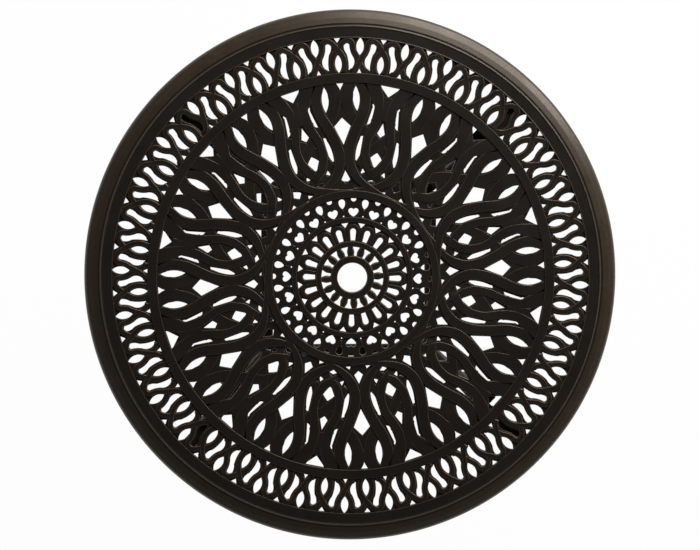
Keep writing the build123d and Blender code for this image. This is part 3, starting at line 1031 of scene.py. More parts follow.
@dataclass
class Rings:
    """The turned rings of the top: the outer rim and the two rings that cover the seams."""

    shop: Workshop
    # Section of the rim from its inner edge over lip, land, bead, groove and fall to the skirt, and back below
    # over the rib: radius, height, fillet and share of worn colour of each corner, which on the lip and bead is also
    # painted highlight
    rim: Table = (
        (478.0, 733.0, 0.3, 0.0),
        (478.0, 736.0, 0.4, 0.6),
        (479.0, 736.0, 0.4, 0.6),
        (479.7, 735.5, 0.4, 0.0),
        (497.9, 735.5, 0.5, 0.0),
        (500.06, 736.22, 2.0, 0.3),
        (500.87, 736.7, 1.0, 1.0),
        (503.6, 734.6, 0.6, 0.0),
        (505.7, 734.6, 0.6, 0.0),
        (507.2, 734.7, 1.5, 0.0),
        (518.2, 731.3, 26.0, 0.0),
        (532.3, 725.0, 12.0, 0.0),
        (535.8, 718.5, 5.0, 0.1),
        (535.8, 697.5, 1.6, 0.5),
        (530.8, 697.5, 1.0, 0.3),
        (530.8, 717.5, 3.0, 0.0),
        (505.7, 726.0, 4.0, 0.0),
        (492.0, 726.0, 1.0, 0.0),
        (492.0, 715.5, 1.2, 0.2),
        (486.0, 715.5, 1.2, 0.2),
        (486.0, 733.0, 0.5, 0.0),
    )
    rim_steps: int = 5
    # The fall gets the worn colour all over, as painted sheen. It lies outside a radius, above the skirt's foot, and
    # outside a slanted line through these heights and radii
    fall_painted_sheen: float = 0.22
    fall_inner: float = 506.7
    fall_bottom: float = 699.5
    fall_line: Table = ((721.5, 531.8), (735.5, 505.7))
    # Inner and outer radius of the caps over the seams
    seams: tuple[tuple[str, float, float], ...] = (
        ("middle_ring", 389.5, 408.2),
        ("rosette_ring", 160.65, 174.95),
    )
    rib: float = 6.0
    cap_fillet: float = 0.9
    # Worn colour on the caps' outer and inner edges, which is also painted highlight
    cap_wear_and_highlight: tuple[float, float] = (0.4, 0.4)
    segments: int = 288

    def rim_profile(self) -> tuple[Array, Array]:
        """Round the rim's section, and paint sheen on its fall with the worn colour.

        Returns:
            Points and share of worn colour of the closed profile, with painted sheen on the fall.
        """
        points, wear_and_highlight = rounded(np.array(self.rim), self.rim_steps)
        radius, height = points.T
        # Painted sheen: every point of the fall gets at least this share of worn brown
        is_fall = (radius > self.fall_inner) & (height > self.fall_bottom)
        is_fall &= radius > np.interp(height, *np.array(self.fall_line).T)
        return points, np.maximum(wear_and_highlight, self.fall_painted_sheen * is_fall)

    def build(self) -> None:
        """Turn the rim and the seam rings."""
        self.shop.hang(turned(*self.rim_profile(), self.segments), "rolled_rim", "top_rim")
        for node, inner, outer in self.seams:
            ring = tee_ring(inner, outer, self.rib, self.cap_fillet, self.cap_wear_and_highlight, self.segments)
            self.shop.hang(ring, "cast_" + node, node)


@dataclass
class OuterBand:
    """Band of crossing wavy straps that stand a little proud of a pierced plate."""

    shop: Workshop
    pattern: Pattern = Pattern(408.2, 479.0, 32, 3.7)
    plate: RingPlate = RingPlate(402.1, 486.6, 384, 384, Level.PLATE_TOP, PlateEdge(wear_and_highlight=0.4))
    openings: tuple[Table, ...] = (
        ((52.8, 0, 0.19), (1, 0, 0.19)),
        ((99.2, -14.7, 0), (99.2, 14.7, 0), (85.4, 0, 0)),
        ((101, 100, 0.22), (50.6, 100, 0.22)),
        ((14.5, 100, 0), (0.9, 111.7, 0), (0.9, 88.3, 0)),
    )
    pairs: tuple[Table, ...] = (
        (
            (8.1, -47.5, 0.26), (49.4, -66.1, -0.06), (80.4, -52.9, 0.38), (75.1, -27.4, 0.08), (53.7, -39.9, -0.05),
        ),
    )
    # Centre line of a strap as radius in millimetres and degrees from the repeat's axis: up past the lower lens,
    # over a hump under the rim, and down past the upper lens to the middle ring
    wave: Table = (
        (408.4, -1.3), (416.4, -1.55), (426.5, -1.75), (436.5, -1.55), (445.6, -1.0), (455.9, 0.0),
        (462.7, 0.7), (469.2, 1.45), (473.0, 2.3), (472.6, 3.1), (467.0, 3.7), (460.7, 3.85), (452.6, 4.15),
        (444.6, 4.75), (430.5, 5.625), (420.4, 6.4), (414.6, 7.15), (412.0, 8.0),
    )
    half_width: float = 5.2
    section: StrapSection = StrapSection(shoulder=1.6, shoulder_wear_and_highlight=0.5)
    spacing: float = 3.5
    # Underside, top, and top at the hump of the upper strap and of its mirror image below it
    levels: Table = ((727.0, 733.6, 735.2), (727.3, 733.15, 735.15))
    # The straps rise to the rim between these radii
    rise_radius: tuple[float, float] = (454.0, 471.0)

    def build(self) -> None:
        """Pierce the plate, then sweep the strap, mirror it and set both round the band."""
        plate = self.plate.pierced(self.pattern.holes(self.openings, self.pairs))
        path = smooth_path(polar(np.array(self.wave)), self.spacing)
        radius = np.linalg.norm(path, axis=1)
        straps = []
        for bottom, top, hump in self.levels:
            height = ease(np.full(len(path), top), hump, radius, *self.rise_radius)
            straps.append(strap(path, self.half_width, bottom, height, self.section))
        upper, lower = straps
        repeat = Shell.joined(upper, lower.mirrored())
        band = Shell.joined(plate, repeat.around(self.pattern.angles()))
        self.shop.hang(band, "wavy_strap_band", "outer_band")


@dataclass(frozen=True)
class StrapCourse:
    """A strap of the field: where it runs, how wide it is, and how high it and its mirror image stand.

    Its centre line is in radius and degrees from the repeat's axis, and its half widths go by radius. Each pair of
    heights is that of the strap and of its mirror image, which differ so that one passes over the other.
    """

    centre_line: Table
    half_widths: Table
    bottoms: tuple[float, float]
    tops: tuple[float, float]
    section: StrapSection
    # Radii between which it sinks below the strap that it meets
    dive: tuple[float, float] | None = None


@dataclass
class FieldLattice:
    """Wide field of interlaced loops: outer loops over inner ones, over low leaf straps on a pierced plate."""

    shop: Workshop
    pattern: Pattern = Pattern(174.95, 389.5, 12, 18.7)
    plate: RingPlate = RingPlate(171.1, 395.4, 240, 360, Level.RECESS, PlateEdge(wear_and_highlight=0.4))
    openings: tuple[Table, ...] = (
        ((99.8, -20.9, 0), (99.8, 20.9, 0), (89.6, 0, 0)),
        ((99.8, 90.4, 0), (99.8, 109.6, 0), (93.4, 100, 0)),
        ((68, 100, 0), (60.1, 121, 0), (42.6, 100, 0), (60.1, 79, 0)),
        ((65.3, 0, 0), (55, 10.5, 0), (51.6, 0, 0), (55, -10.5, 0)),
        ((37.2, 0, 0.03), (31.6, 18.6, 0), (22, 0, 0), (31.6, -18.6, 0.03)),
        ((11.4, 0, 0), (9.8, 15.9, 0), (6.9, 0, 0), (9.8, -15.9, 0)),
        ((19.1, 100, 0), (10.4, 117.5, 0), (6.5, 100, 0), (10.4, 82.5, 0)),
    )
    pairs: tuple[Table, ...] = (
        ((97.5, -68.2, 0.13), (73.8, -64.1, 0.15)),
        ((78.9, -29.6, 0.28), (82.7, -26.9, 0.13), (66.6, -30.3, 0.26), (61.9, -39.4, 0)),
        ((48.6, -54.1, 0.31), (51, -45.8, 0), (33.6, -51.3, 0.03), (27.5, -62.6, 0), (29.2, -65.9, 0.06)),
        ((21, -38.4, 0), (17, -27.4, 0), (15.4, -38.5, 0), (16.6, -45.1, 0.05)),
        ((5.4, -64.5, 0), (2.8, -44.8, 0), (2.1, -68.5, 0)),
    )
    outer_loop: StrapCourse = StrapCourse(
        centre_line=(
            (389.5, -8.6), (381.4, -8.3), (363.7, -7.1), (350.2, -7.06), (330.5, -7.5), (303.6, -9.4),
            (283.2, -11.0), (264.5, -12.1), (252.9, -12.6), (237.8, -12.8), (217.9, -11.5), (202.2, -8.8),
            (190.5, -4.8), (183.1, 0.0), (178.4, 4.4), (174.8, 8.0), (172.8, 12.0), (172.2, 15.0),
        ),
        half_widths=((176.0, 5.0), (190.0, 6.5), (214.0, 9.5), (240.0, 10.6)),
        bottoms=(727.3, 727.0),
        tops=(733.8, 734.3),
        section=StrapSection(shoulder=1.4, shoulder_wear_and_highlight=0.45),
    )
    inner_loop: StrapCourse = StrapCourse(
        centre_line=(
            (389.5, -5.57), (378.0, -4.37), (362.0, -3.37), (348.0, -2.35), (335.0, -2.2), (320.0, -2.5),
            (303.4, -3.2), (277.4, -4.95), (257.9, -5.4), (247.8, -5.3), (240.2, -4.7), (224.9, -3.2),
            (215.3, -0.3), (207.4, 2.7), (202.0, 5.4),
        ),
        half_widths=(
            (205.0, 8.5), (245.0, 8.8), (272.0, 7.8), (303.0, 8.8), (320.0, 10.2), (335.0, 10.6), (348.0, 9.6),
            (362.0, 13.2), (378.0, 14.6),
        ),
        bottoms=(727.9, 727.6),
        tops=(733.6, 733.2),
        section=StrapSection(shoulder=1.4, shoulder_wear_and_highlight=0.45),
        dive=(212.0, 203.0),
    )
    leaf: StrapCourse = StrapCourse(
        centre_line=(
            (386.2, -12.1), (380.0, -12.7), (362.1, -13.1), (339.4, -12.6), (318.3, -10.7), (296.1, -6.4),
            (271.4, 0.0), (245.0, 4.9), (232.0, 7.0),
        ),
        half_widths=((230.0, 7.5), (345.0, 10.3), (360.0, 13.3), (373.0, 13.5), (380.0, 11.7)),
        bottoms=(728.5, 728.2),
        tops=(731.75, 731.45),
        section=StrapSection(shoulder=0.8, shoulder_wear_and_highlight=0.45),
    )
    tuck: float = 12.0
    spacing: float = 6.0
    dive_level: float = 730.6
    # All straps come to one height between these radii, near the middle ring. The images stand a hair higher
    merge_radius: tuple[float, float] = (325.0, 362.0)
    merge_levels: tuple[float, float] = (Level.MERGED.value, 733.45)
    # Web on the axis between the two inner loops
    web: Table = ((319.0, 0.0), (340.0, 0.0), (366.0, 0.0))
    web_widths: Table = ((319.0, 6.0), (345.0, 6.0), (362.0, 8.8))
    web_end: float = 0.3
    web_levels: tuple[float, float] = (728.0, 733.35)

    def straps(self, image: int) -> Shell:
        """The three straps of one repeat, on one side of its axis.

        Args:
            image: 0 for the straps as drawn, 1 for their mirror images.

        Returns:
            The straps.
        """
        shells = []
        for course in (self.outer_loop, self.inner_loop, self.leaf):
            path = smooth_path(lengthened(polar(np.array(course.centre_line)), self.tuck), self.spacing)
            radius = np.linalg.norm(path, axis=1)
            top = np.full(len(path), course.tops[image])
            top = ease(top, self.merge_levels[image], radius, *self.merge_radius)
            if course.dive:
                top = ease(top, self.dive_level, radius, *course.dive)
            half_width = np.interp(radius, *np.array(course.half_widths).T)
            shells.append(strap(path, half_width, course.bottoms[image], top, course.section))
        straps = Shell.joined(*shells)
        return straps.mirrored() if image else straps

    def web_strap(self) -> Shell:
        """The web of one repeat.

        Returns:
            The web as a closed strap.
        """
        path = lengthened(smooth_path(polar(np.array(self.web)), self.spacing), self.web_end)
        half_width = np.interp(path[:, 0], *np.array(self.web_widths).T)
        return strap(path, half_width, *self.web_levels, StrapSection(shoulder_wear_and_highlight=0.0))

    def build(self) -> None:
        """Pierce the plate, and set the straps of both sides and the webs round the field."""
        plate = self.plate.pierced(self.pattern.holes(self.openings, self.pairs))
        repeat = Shell.joined(self.straps(0), self.straps(1), self.web_strap())
        lattice = Shell.joined(plate, repeat.around(self.pattern.angles()))
        self.shop.hang(lattice, "interlaced_loop_field", "field_lattice")


@dataclass
class Rosette:
    """Pierced rosette: hearts, drops and dots outside a raised ring, and an arcade of arched slots inside it."""

    shop: Workshop
    pattern: Pattern = Pattern(73.15, 160.65, 20, -1.0)
    plate: RingPlate = RingPlate(71.4, 164.4, 160, 240, Level.PLATE_TOP, PlateEdge(wear_and_highlight=0.35))
    openings: tuple[Table, ...] = (
        ((98.6, -23, 0), (98.6, 23, 0.6)),
        ((74.8, 100, 0.12), (88.3, 71.5, 0.25), (97.4, 100, 0.25), (88.3, 128.5, 0.12)),
        ((56.3, 0, 0.08), (66.8, -47, 0.49), (73.4, 0, 0.49), (66.8, 47, 0.08)),
        ((56.1, 100, 0.54), (60, 100, 0.54)),
        ((42.6, 57.5, 0), (42.6, 142.5, 0), (30.8, 100, 0)),
        ((1.7, -39.4, 0), (22.3, -41.9, 0.55), (22.3, 41.9, 0), (1.7, 39.4, 0)),
    )
    # Inner radius, outer radius, underside and top
    heart_ring: tuple[float, float, float, float] = (111.7, 121.5, 731.2, 734.9)
    heart_ring_corners: Table = ((0.1, 0.0), (0.1, 0.0), (0.9, 0.35), (0.9, 0.35))
    heart_ring_segments: int = 200
    # The arch round a slot leans out by this angle on each side, and widens from its feet to its head
    arch_angle: float = 6.55
    arch_half_width: tuple[float, float] = (2.8, 3.7)
    arch_levels: tuple[float, float] = (727.0, 733.6)
    arch_section: StrapSection = StrapSection(shoulder=1.1, lower=0.4, shoulder_wear_and_highlight=0.2)
    arch_head_points: int = 17
    arch_leg_points: int = 5
    slot_end: float = 93.5
    # Short cord by each drop
    cord_radii: tuple[float, ...] = (128.5, 132.5, 137.0)
    cord_spacing: float = 1.5
    cord_half_width: float = 1.8
    cord_levels: tuple[float, float] = (731.2, 732.9)
    cord_section: StrapSection = StrapSection(shoulder=0.9, lower=0.2, shoulder_wear_and_highlight=0.1)

    def arch(self) -> Shell:
        """Raised arch round one slot: two straight legs and a half circle over its end.

        Returns:
            The arch as a closed strap.
        """
        foot = self.plate.bore
        lean = np.radians(self.arch_angle)
        reach, centre = self.slot_end * np.sin(lean), self.slot_end * np.cos(lean)
        swing = np.linspace(-np.pi / 2, np.pi / 2, self.arch_head_points)
        over = np.stack([centre + reach * np.cos(swing), reach * np.sin(swing)], -1)
        leg_radius = np.linspace(foot, self.slot_end, self.arch_leg_points, endpoint=False)
        leg = np.stack([leg_radius * np.cos(lean), -leg_radius * np.sin(lean)], -1)
        path = np.concatenate([leg, over, leg[::-1] * ACROSS_X[:2]])
        half_width = np.interp(path[:, 0], (foot, centre), self.arch_half_width)
        return strap(path, half_width, *self.arch_levels, self.arch_section)

    def cord(self) -> Shell:
        """Short cord between two repeats.

        Returns:
            The cord as a closed strap.
        """
        middle = 180 / self.pattern.repeats
        controls = polar(np.array([(radius, middle) for radius in self.cord_radii]))
        path = smooth_path(controls, self.cord_spacing)
        return strap(path, self.cord_half_width, *self.cord_levels, self.cord_section)

    def build(self) -> None:
        """Pierce the plate, and raise the heart ring, the arches and the cords."""
        plate = self.plate.pierced(self.pattern.holes(self.openings))
        ring = square_ring(*self.heart_ring, self.heart_ring_corners, self.heart_ring_segments)
        repeated = Shell.joined(self.arch(), self.cord()).around(self.pattern.angles())
        self.shop.hang(Shell.joined(plate, ring, repeated), "heart_rosette", "rosette")


@dataclass
class Hub:
    """Umbrella collar, baluster spokes and the ring that carries the rosette."""

    shop: Workshop
    spokes: int = 16
    turn: float = 3.6
    # Inner radius, outer radius, underside and top
    collar: tuple[float, float, float, float] = (29.8, 43.9, Level.RIB_BOTTOM.value, Level.RING_TOP.value)
    collar_corners: Table = ((1.0, 0.2), (1.2, 0.2), (1.6, 0.6), (1.4, 0.7))
    collar_segments: int = 144
    # Inner and outer radius
    ring: tuple[float, float] = (61.9, 73.15)
    ring_rib: float = 6.0
    ring_fillet: float = 1.0
    # Worn colour on the ring's outer and inner edges, which is also painted highlight
    ring_wear_and_highlight: tuple[float, float] = (0.7, 0.8)
    ring_segments: int = 160
    # Half widths of a spoke by radius
    baluster: Table = (
        (42.0, 7.2), (44.0, 6.4), (46.0, 6.6), (49.0, 7.3), (52.5, 7.5), (56.0, 6.8), (59.0, 5.8), (61.5, 5.2),
        (64.5, 5.6),
    )
    baluster_steps: int = 24
    baluster_section: StrapSection = StrapSection(shoulder=3.2, shoulder_wear_and_highlight=0.6)
    crown: float = 0.8

    def spoke(self) -> Shell:
        """Baluster spoke, whose top rises to its middle by a half wave.

        Returns:
            The spoke on the X axis, as a closed strap.
        """
        stations = np.array(self.baluster)
        radius = np.linspace(stations[0, 0], stations[-1, 0], self.baluster_steps)
        path = np.stack([radius, np.zeros_like(radius)], -1)
        top = Level.MERGED.value + self.crown * np.sin(np.pi * (radius - radius[0]) / np.ptp(radius))
        half_width = np.interp(radius, *stations.T)
        return strap(path, half_width, Level.CAST_BOTTOM.value, top, self.baluster_section)

    def build(self) -> None:
        """Turn the collar and the ring, and sweep the spokes between them."""
        collar = square_ring(*self.collar, self.collar_corners, self.collar_segments)
        ring = tee_ring(*self.ring, self.ring_rib, self.ring_fillet, self.ring_wear_and_highlight, self.ring_segments)
        angles = self.turn + np.arange(self.spokes) * 360 / self.spokes
        self.shop.hang(Shell.joined(collar, ring, self.spoke().around(angles)), "umbrella_hub", "hub")


@dataclass
class Legs:
    """Four curved legs on the diagonals, each with a flange, a waist lug and a round foot boss, and their brackets."""

    shop: Workshop
    # Radius and height of the bar's ends and waist, and its depth there
    spine_marks: Table = ((437.85, 700.0), (276.065, 395.0), (419.0, 12.0))
    depths: tuple[float, float, float] = (28.0, 36.0, 30.0)
    thickness: float = 22.0
    corner: float = 5.5
    # Worn colour on the bar's rounded corners, which is also painted highlight
    corner_wear_and_highlight: float = 0.35
    half_steps: int = 33
    block_fillet: float = 3.0
    block_edge: PlateEdge = PlateEdge(upper=1.0, lower=1.0, wear_and_highlight=0.4)
    # Blocks that overlap differ a little in size, so that no two faces lie in one plane. On their right, flange and
    # bracket keep clear of the band's openings
    flange: Box = (373.95, 472.85, -8.0, 14.9, 700.0, 708.0)
    flange_root: Box = (373.85, 409.0, -15.0, 15.0, 700.2, 707.95)
    # The flanges of the right hand castings have an ear at one side
    ears: tuple[tuple[str, Box], ...] = (
        ("back_right", (360.0, 398.0, -15.0, 32.0, 700.5, 707.9)),
        ("front_right", (360.0, 382.5, -15.0, 34.0, 700.5, 707.9)),
    )
    lug: Box = (256.07, 276.065, -10.8, 10.8, 382.5, 407.5)
    # The bracket's slot fits over the middle ring's rib
    bracket_base: Box = (388.0, 469.85, -8.0, 17.0, 708.0, 715.4)
    bracket_ends: tuple[Box, Box] = (
        (388.1, 395.25, -7.9, 16.9, 715.0, 726.0),
        (402.45, 469.75, -7.9, 16.9, 715.0, 726.0),
    )
    bolt_places: tuple[float, float] = (413.85, 461.85)
    bolt_hole: float = 4.5
    bolt_segments: int = 24
    # Inner radius, outer radius, underside and top
    boss: tuple[float, float, float, float] = (4.05, 16.0, 12.0, 26.0)
    boss_corners: Table = ((0.4, 0.0), (2.0, 0.3), (2.5, 0.3), (0.4, 0.0))
    boss_segments: int = 48

    def spine(self) -> tuple[Array, Array]:
        """Centre line in radius and height: two cubics with upright ends, each as strong as its chord is long.

        Returns:
            Points, and how far along each is from 0 to 1.
        """
        marks = np.array(self.spine_marks)
        t = np.linspace(0, 1, self.half_steps)[:, None]
        halves = []
        for start, end in zip(marks[:-1], marks[1:]):
            down = np.array([0.0, -np.linalg.norm(end - start)])
            halves.append(hermite(start, end, down, down, t))
        points = np.concatenate([halves[0], halves[1][1:]])
        length = np.concatenate([[0], np.cumsum(np.linalg.norm(np.diff(points, axis=0), axis=1))])
        return points, length / length[-1]

    def bar(self) -> Shell:
        """Curved bar: a rounded rectangle carried down the spine, deepest at the waist by a parabola.

        Returns:
            The bar on the X axis.
        """
        points, share = self.spine()
        depth = np.polyval(np.polyfit([0, 0.5, 1], self.depths, 2), share)
        along = unit(np.gradient(points, axis=0))
        zero = np.zeros(len(points))
        centres = np.stack([points[:, 0], zero, points[:, 1]], -1)
        across = np.stack([-along[:, 1], zero, along[:, 0]], -1)
        up = np.tile([0.0, 1.0, 0.0], (len(points), 1))
        # A square with fillets of 1 gives each point's distance in from its corner, in fillets. The points nearer
        # than the limit lie on the fillet itself
        reach, limit = 10.0, 0.95
        signs = np.array([(1, 1), (-1, 1), (-1, -1), (1, -1)])
        square, _ = rounded(np.concatenate([signs * reach, np.tile([1.0, 0.0], (4, 1))], axis=1), steps=5, hold=0.5)
        side = np.sign(square)
        inward = side * reach - square
        wear_and_highlight = np.where((np.abs(inward) < limit).all(axis=1), self.corner_wear_and_highlight, 0.0)
        u = side[:, 0] * depth[:, None] / 2 - inward[:, 0] * self.corner
        v = np.broadcast_to(side[:, 1] * self.thickness / 2 - inward[:, 1] * self.corner, u.shape)
        return swept(centres, across, up, u, v, wear_and_highlight)

    def block(self, box: Box, holes: tuple[Array, ...] = ()) -> Shell:
        """Rounded block along X, with upright holes.

        Args:
            box: its six sides.
            holes: outlines of its holes.

        Returns:
            The closed block.
        """
        start, end, right, left, bottom, top = box
        places = np.array([(start, right), (end, right), (end, left), (start, left)])
        outline, _ = rounded(np.concatenate([places, np.tile([self.block_fillet, 0.0], (4, 1))], axis=1))
        return pierced_plate(outline, list(holes), bottom, top, self.block_edge)

    def build(self) -> None:
        """Join the parts of a leg and of its bracket, and set both on each diagonal."""
        hole = circle(self.bolt_hole, self.bolt_segments)
        bolts = tuple(hole + np.array([place, 0.0]) for place in self.bolt_places)
        boss = square_ring(*self.boss, self.boss_corners, self.boss_segments).moved(self.spine_marks[-1][0])
        flange = self.block(self.flange, bolts)
        leg = Shell.joined(self.bar(), flange, self.block(self.flange_root), self.block(self.lug), boss)
        bracket = Shell.joined(self.block(self.bracket_base, bolts), *map(self.block, self.bracket_ends))
        for place, angle in LEG_ANGLES.items():
            ears = [self.block(box) for owner, box in self.ears if owner == place]
            piece = Shell.joined(leg, *ears).around(angle)
            self.shop.hang(piece, "curved_leg_" + place, "leg_" + place, shaded_copy=True)
            node = "leg_bracket_" + place
            self.shop.hang(bracket.around(angle), "slotted_" + node, node, shaded_copy=True)


@dataclass
class StretcherFrame:
    """Square frame with cut corners that ties the legs at their waists."""

    shop: Workshop
    # Side of the square, radius of the cut corners and fillet of the outer and of the inner outline
    outer: tuple[float, float, float] = (389.0, 256.07, 2.0)
    inner: tuple[float, float, float] = (339.0, 233.07, 5.0)
    levels: tuple[float, float] = (382.5, 407.5)
    edge: PlateEdge = PlateEdge(upper=3.0, lower=3.0, wear_and_highlight=0.35)

    def outline(self, side: float, cut: float, fillet: float) -> Array:
        """Square with its corners cut at a radius along the diagonals.

        Args:
            side: side of the square.
            cut: radius at which the corners are cut.
            fillet: rounding of the eight corners.

        Returns:
            Points of the outline.
        """
        half = side / 2
        short = cut * 2**0.5 - half
        right = np.array([(half, -short), (half, short)])
        places = (right @ turn_matrices(np.arange(4) * 90.0)).reshape(-1, 2)
        points, _ = rounded(np.concatenate([places, np.tile([fillet, 0.0], (8, 1))], axis=1))
        return points

    def build(self) -> None:
        """Pierce the inner outline through the outer one."""
        bars = pierced_plate(self.outline(*self.outer), [self.outline(*self.inner)], *self.levels, self.edge)
        self.shop.hang(bars, "square_stretcher", "stretcher_frame", shaded_copy=True)


@dataclass
class Fixings:
    """Bolts, washers and levelling feet."""

    shop: Workshop
    fasteners: tuple[str, ...] = ("top_bolts", "top_washers", "corner_bolts", "corner_washers")
    foot_radius: float = 419.0
    # Section of a pad from its sole round to its stud's blind hole: radius, height, fillet and wear
    pad: Table = (
        (0.02, 0.0, 0.01, 0.0),
        (13.8, 0.0, 1.2, 0.0),
        (15.0, 1.6, 1.2, 0.0),
        (15.0, 6.0, 1.5, 0.0),
        (12.0, 10.0, 2.0, 0.0),
        (4.05, 10.0, 0.3, 0.0),
        (4.05, 4.0, 0.2, 0.0),
        (0.02, 4.0, 0.01, 0.0),
    )
    pad_hold: float = 0.005
    pad_segments: int = 64

    def build(self) -> None:
        """Dress the CAD fasteners, and turn the nylon pads about their studs."""
        for node in self.fasteners:
            self.shop.dress(node, Slot.ZINC_STEEL)
        profile = rounded(np.array(self.pad), hold=self.pad_hold)
        pad = turned(*profile, self.pad_segments).moved(self.foot_radius)
        for place, angle in LEG_ANGLES.items():
            body = "levelling_foot_" + place
            self.shop.hang(pad.around(angle), "nylon_foot_" + place, "foot_pad_" + place, Slot.NYLON, body)
            self.shop.dress("foot_stud_" + place, Slot.ZINC_STEEL)


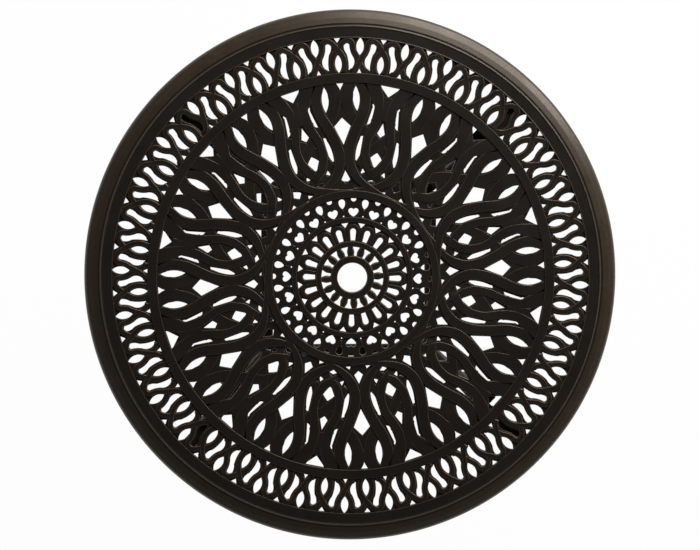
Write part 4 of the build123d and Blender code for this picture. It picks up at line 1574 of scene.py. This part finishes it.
@dataclass
class Studio:
    """White sweep of floor and wall, soft lamps and the camera above the table. Lengths are in metres."""

    image_width: int = 700
    flat_radii: tuple[float, ...] = (0.001, 1.0, 4.0)
    floor_radius: float = 8.0
    wall_radius: float = 11.0
    wall_height: float = 3.4
    sweep_segments: int = 96
    bend_steps: int = 12
    white: str = "#FBFBFA"
    white_share: float = 0.975
    # Where each lamp stands, its side, and its power in watts
    lamps: tuple[tuple[str, tuple[float, float, float], float, float], ...] = (
        ("window_softbox", (1.05, 2.97, 2.2), 1.7, 96.0),
        ("side_softbox", (2.43, 2.08, 2.1), 0.8, 50.0),
    )
    lamp_target: tuple[float, float, float] = (0.0, 0.0, 0.6)
    # Strength of the room's light near the horizon and overhead, and the heights between which it changes
    room_light: tuple[float, float] = (0.42, 0.08)
    room_heights: tuple[float, float] = (0.15, 0.8)
    sensor: float = 36.0
    # Where the photograph was taken from, and the scale of the table top in it
    camera_height: float = 3.0
    camera_offset: tuple[float, float] = (-0.070, 0.181)
    metres_per_pixel: float = 0.0020057
    # The lens faces this point of the table top, and its shift brings the other one to the picture's middle
    facing: tuple[float, float] = (0.080, 0.001)
    aim: tuple[float, float] = (-0.0047, 0.0055)

    def sweep_material(self) -> bpy.types.Material:
        """White paint that shows plain white to the camera and to reflections, and keeps a light shadow.

        Returns:
            The material.
        """
        material, tree = blank_material("white_studio_paint")
        path = add_node(tree, "ShaderNodeLightPath").outputs
        seen = path["Is Camera Ray"]
        for ray in ("Is Glossy Ray", "Is Transmission Ray"):
            either = add_node(tree, "ShaderNodeMath", {"operation": "MAXIMUM"}, links={0: seen, 1: path[ray]})
            seen = either.outputs["Value"]
        share = add_node(tree, "ShaderNodeMath", {"operation": "MULTIPLY"}, {1: self.white_share}, {0: seen})
        paint = add_node(tree, "ShaderNodeBsdfDiffuse", inputs={"Color": linear(self.white)})
        glow = add_node(tree, "ShaderNodeEmission", inputs={"Color": (1, 1, 1, 1), "Strength": 1.0})
        mixed = add_node(
            tree,
            "ShaderNodeMixShader",
            links={0: share.outputs["Value"], 1: paint.outputs["BSDF"], 2: glow.outputs["Emission"]},
        )
        clear = add_node(tree, "ShaderNodeBsdfTransparent")
        below = add_node(tree, "ShaderNodeNewGeometry").outputs["Backfacing"]
        one_sided = add_node(
            tree,
            "ShaderNodeMixShader",
            links={0: below, 1: mixed.outputs["Shader"], 2: clear.outputs["BSDF"]},
        )
        add_node(tree, "ShaderNodeOutputMaterial", links={"Surface": one_sided.outputs["Shader"]})
        return material

    def sweep(self) -> None:
        """Round floor that curves up into a wall: radius and height follow a quarter of an ellipse at its edge."""
        bend = np.linspace(0, np.pi / 2, self.bend_steps)
        rise = self.floor_radius + (self.wall_radius - self.floor_radius) * np.sin(bend)
        radius = np.concatenate([self.flat_radii, rise])
        height = np.concatenate([np.zeros(len(self.flat_radii)), self.wall_height * (1 - np.cos(bend))])
        angle = np.linspace(0, 2 * np.pi, self.sweep_segments, endpoint=False)[:, None]
        grid = np.stack(np.broadcast_arrays(radius * np.cos(angle), radius * np.sin(angle), height), -1)
        quads = grid_quads(self.sweep_segments, len(radius), True, False)[:, ::-1]
        points = grid.reshape(-1, 3) / MM
        shell = Shell(points, quads, NO_TRIANGLES, np.zeros(len(points)))
        shell.to_object("studio_sweep", self.sweep_material())

    def lamp(self, name: str, place: tuple[float, float, float], size: float, power: float) -> None:
        """Add a square soft lamp that faces the table.

        Args:
            name: name of the lamp.
            place: where it stands.
            size: side of the square.
            power: watts.
        """
        data = bpy.data.lights.new(name, "AREA")
        data.shape = "SQUARE"
        data.size = size
        data.energy = power
        lamp = bpy.data.objects.new(name, data)
        lamp.location = place
        lamp.rotation_mode = "QUATERNION"
        lamp.rotation_quaternion = (Vector(self.lamp_target) - Vector(place)).to_track_quat("-Z", "Y")
        bpy.context.scene.collection.objects.link(lamp)

    def world(self) -> None:
        """Soft grey room, darker straight above than at the sides."""
        world = bpy.data.worlds.new("studio_room")
        world.use_nodes = True
        tree = world.node_tree
        tree.nodes.clear()
        place = add_node(tree, "ShaderNodeTexCoord").outputs["Generated"]
        height = add_node(tree, "ShaderNodeSeparateXYZ", links={"Vector": place}).outputs["Z"]
        span = dict(zip(RANGE, self.room_heights + self.room_light))
        level = add_node(tree, "ShaderNodeMapRange", inputs=span, links={"Value": height}).outputs["Result"]
        room = add_node(tree, "ShaderNodeBackground", inputs={"Color": (1, 1, 1, 1)}, links={"Strength": level})
        add_node(tree, "ShaderNodeOutputWorld", links={"Surface": room.outputs["Background"]})
        bpy.context.scene.world = world

    def camera(self) -> None:
        """Camera nearly straight above, with the lens that gives the table top its scale in the picture."""
        top = Level.RING_TOP.value * MM
        place = Vector((*self.camera_offset, top + self.camera_height))
        gaze = (Vector((*self.facing, top)) - place).normalized()
        middle = Vector((*self.aim, top)) - place
        depth = middle.dot(gaze)
        back = Vector((0, 1, 0))
        side = gaze.cross(back * depth - middle * back.dot(gaze)).normalized()
        upward = side.cross(gaze)
        data = bpy.data.cameras.new("camera")
        data.sensor_width = self.sensor
        data.lens = depth / self.metres_per_pixel / self.image_width * self.sensor
        data.shift_x = middle.dot(side) / depth * data.lens / self.sensor
        data.shift_y = middle.dot(upward) / depth * data.lens / self.sensor
        camera = bpy.data.objects.new("camera", data)
        turn = np.array([side, upward, -gaze]).T
        camera.matrix_world = Matrix([[*turn[row], place[row]] for row in range(3)] + [[0, 0, 0, 1]])
        bpy.context.scene.collection.objects.link(camera)
        bpy.context.scene.camera = camera

    def build(self) -> None:
        """Set the stage, the room, the lamps and the camera."""
        bpy.context.scene.view_settings.view_transform = "Standard"
        self.sweep()
        self.world()
        for lamp in self.lamps:
            self.lamp(*lamp)
        self.camera()


def main() -> None:
    """Build the table's pieces in order, then the studio."""
    logging.basicConfig(level=logging.INFO, format="%(name)s: %(message)s")
    shop = Workshop(Finishes.build())
    for part in (Rings, OuterBand, FieldLattice, Rosette, Hub, Legs, StretcherFrame, Fixings):
        part(shop).build()
    Studio().build()


if __name__ == "__main__":
    main()
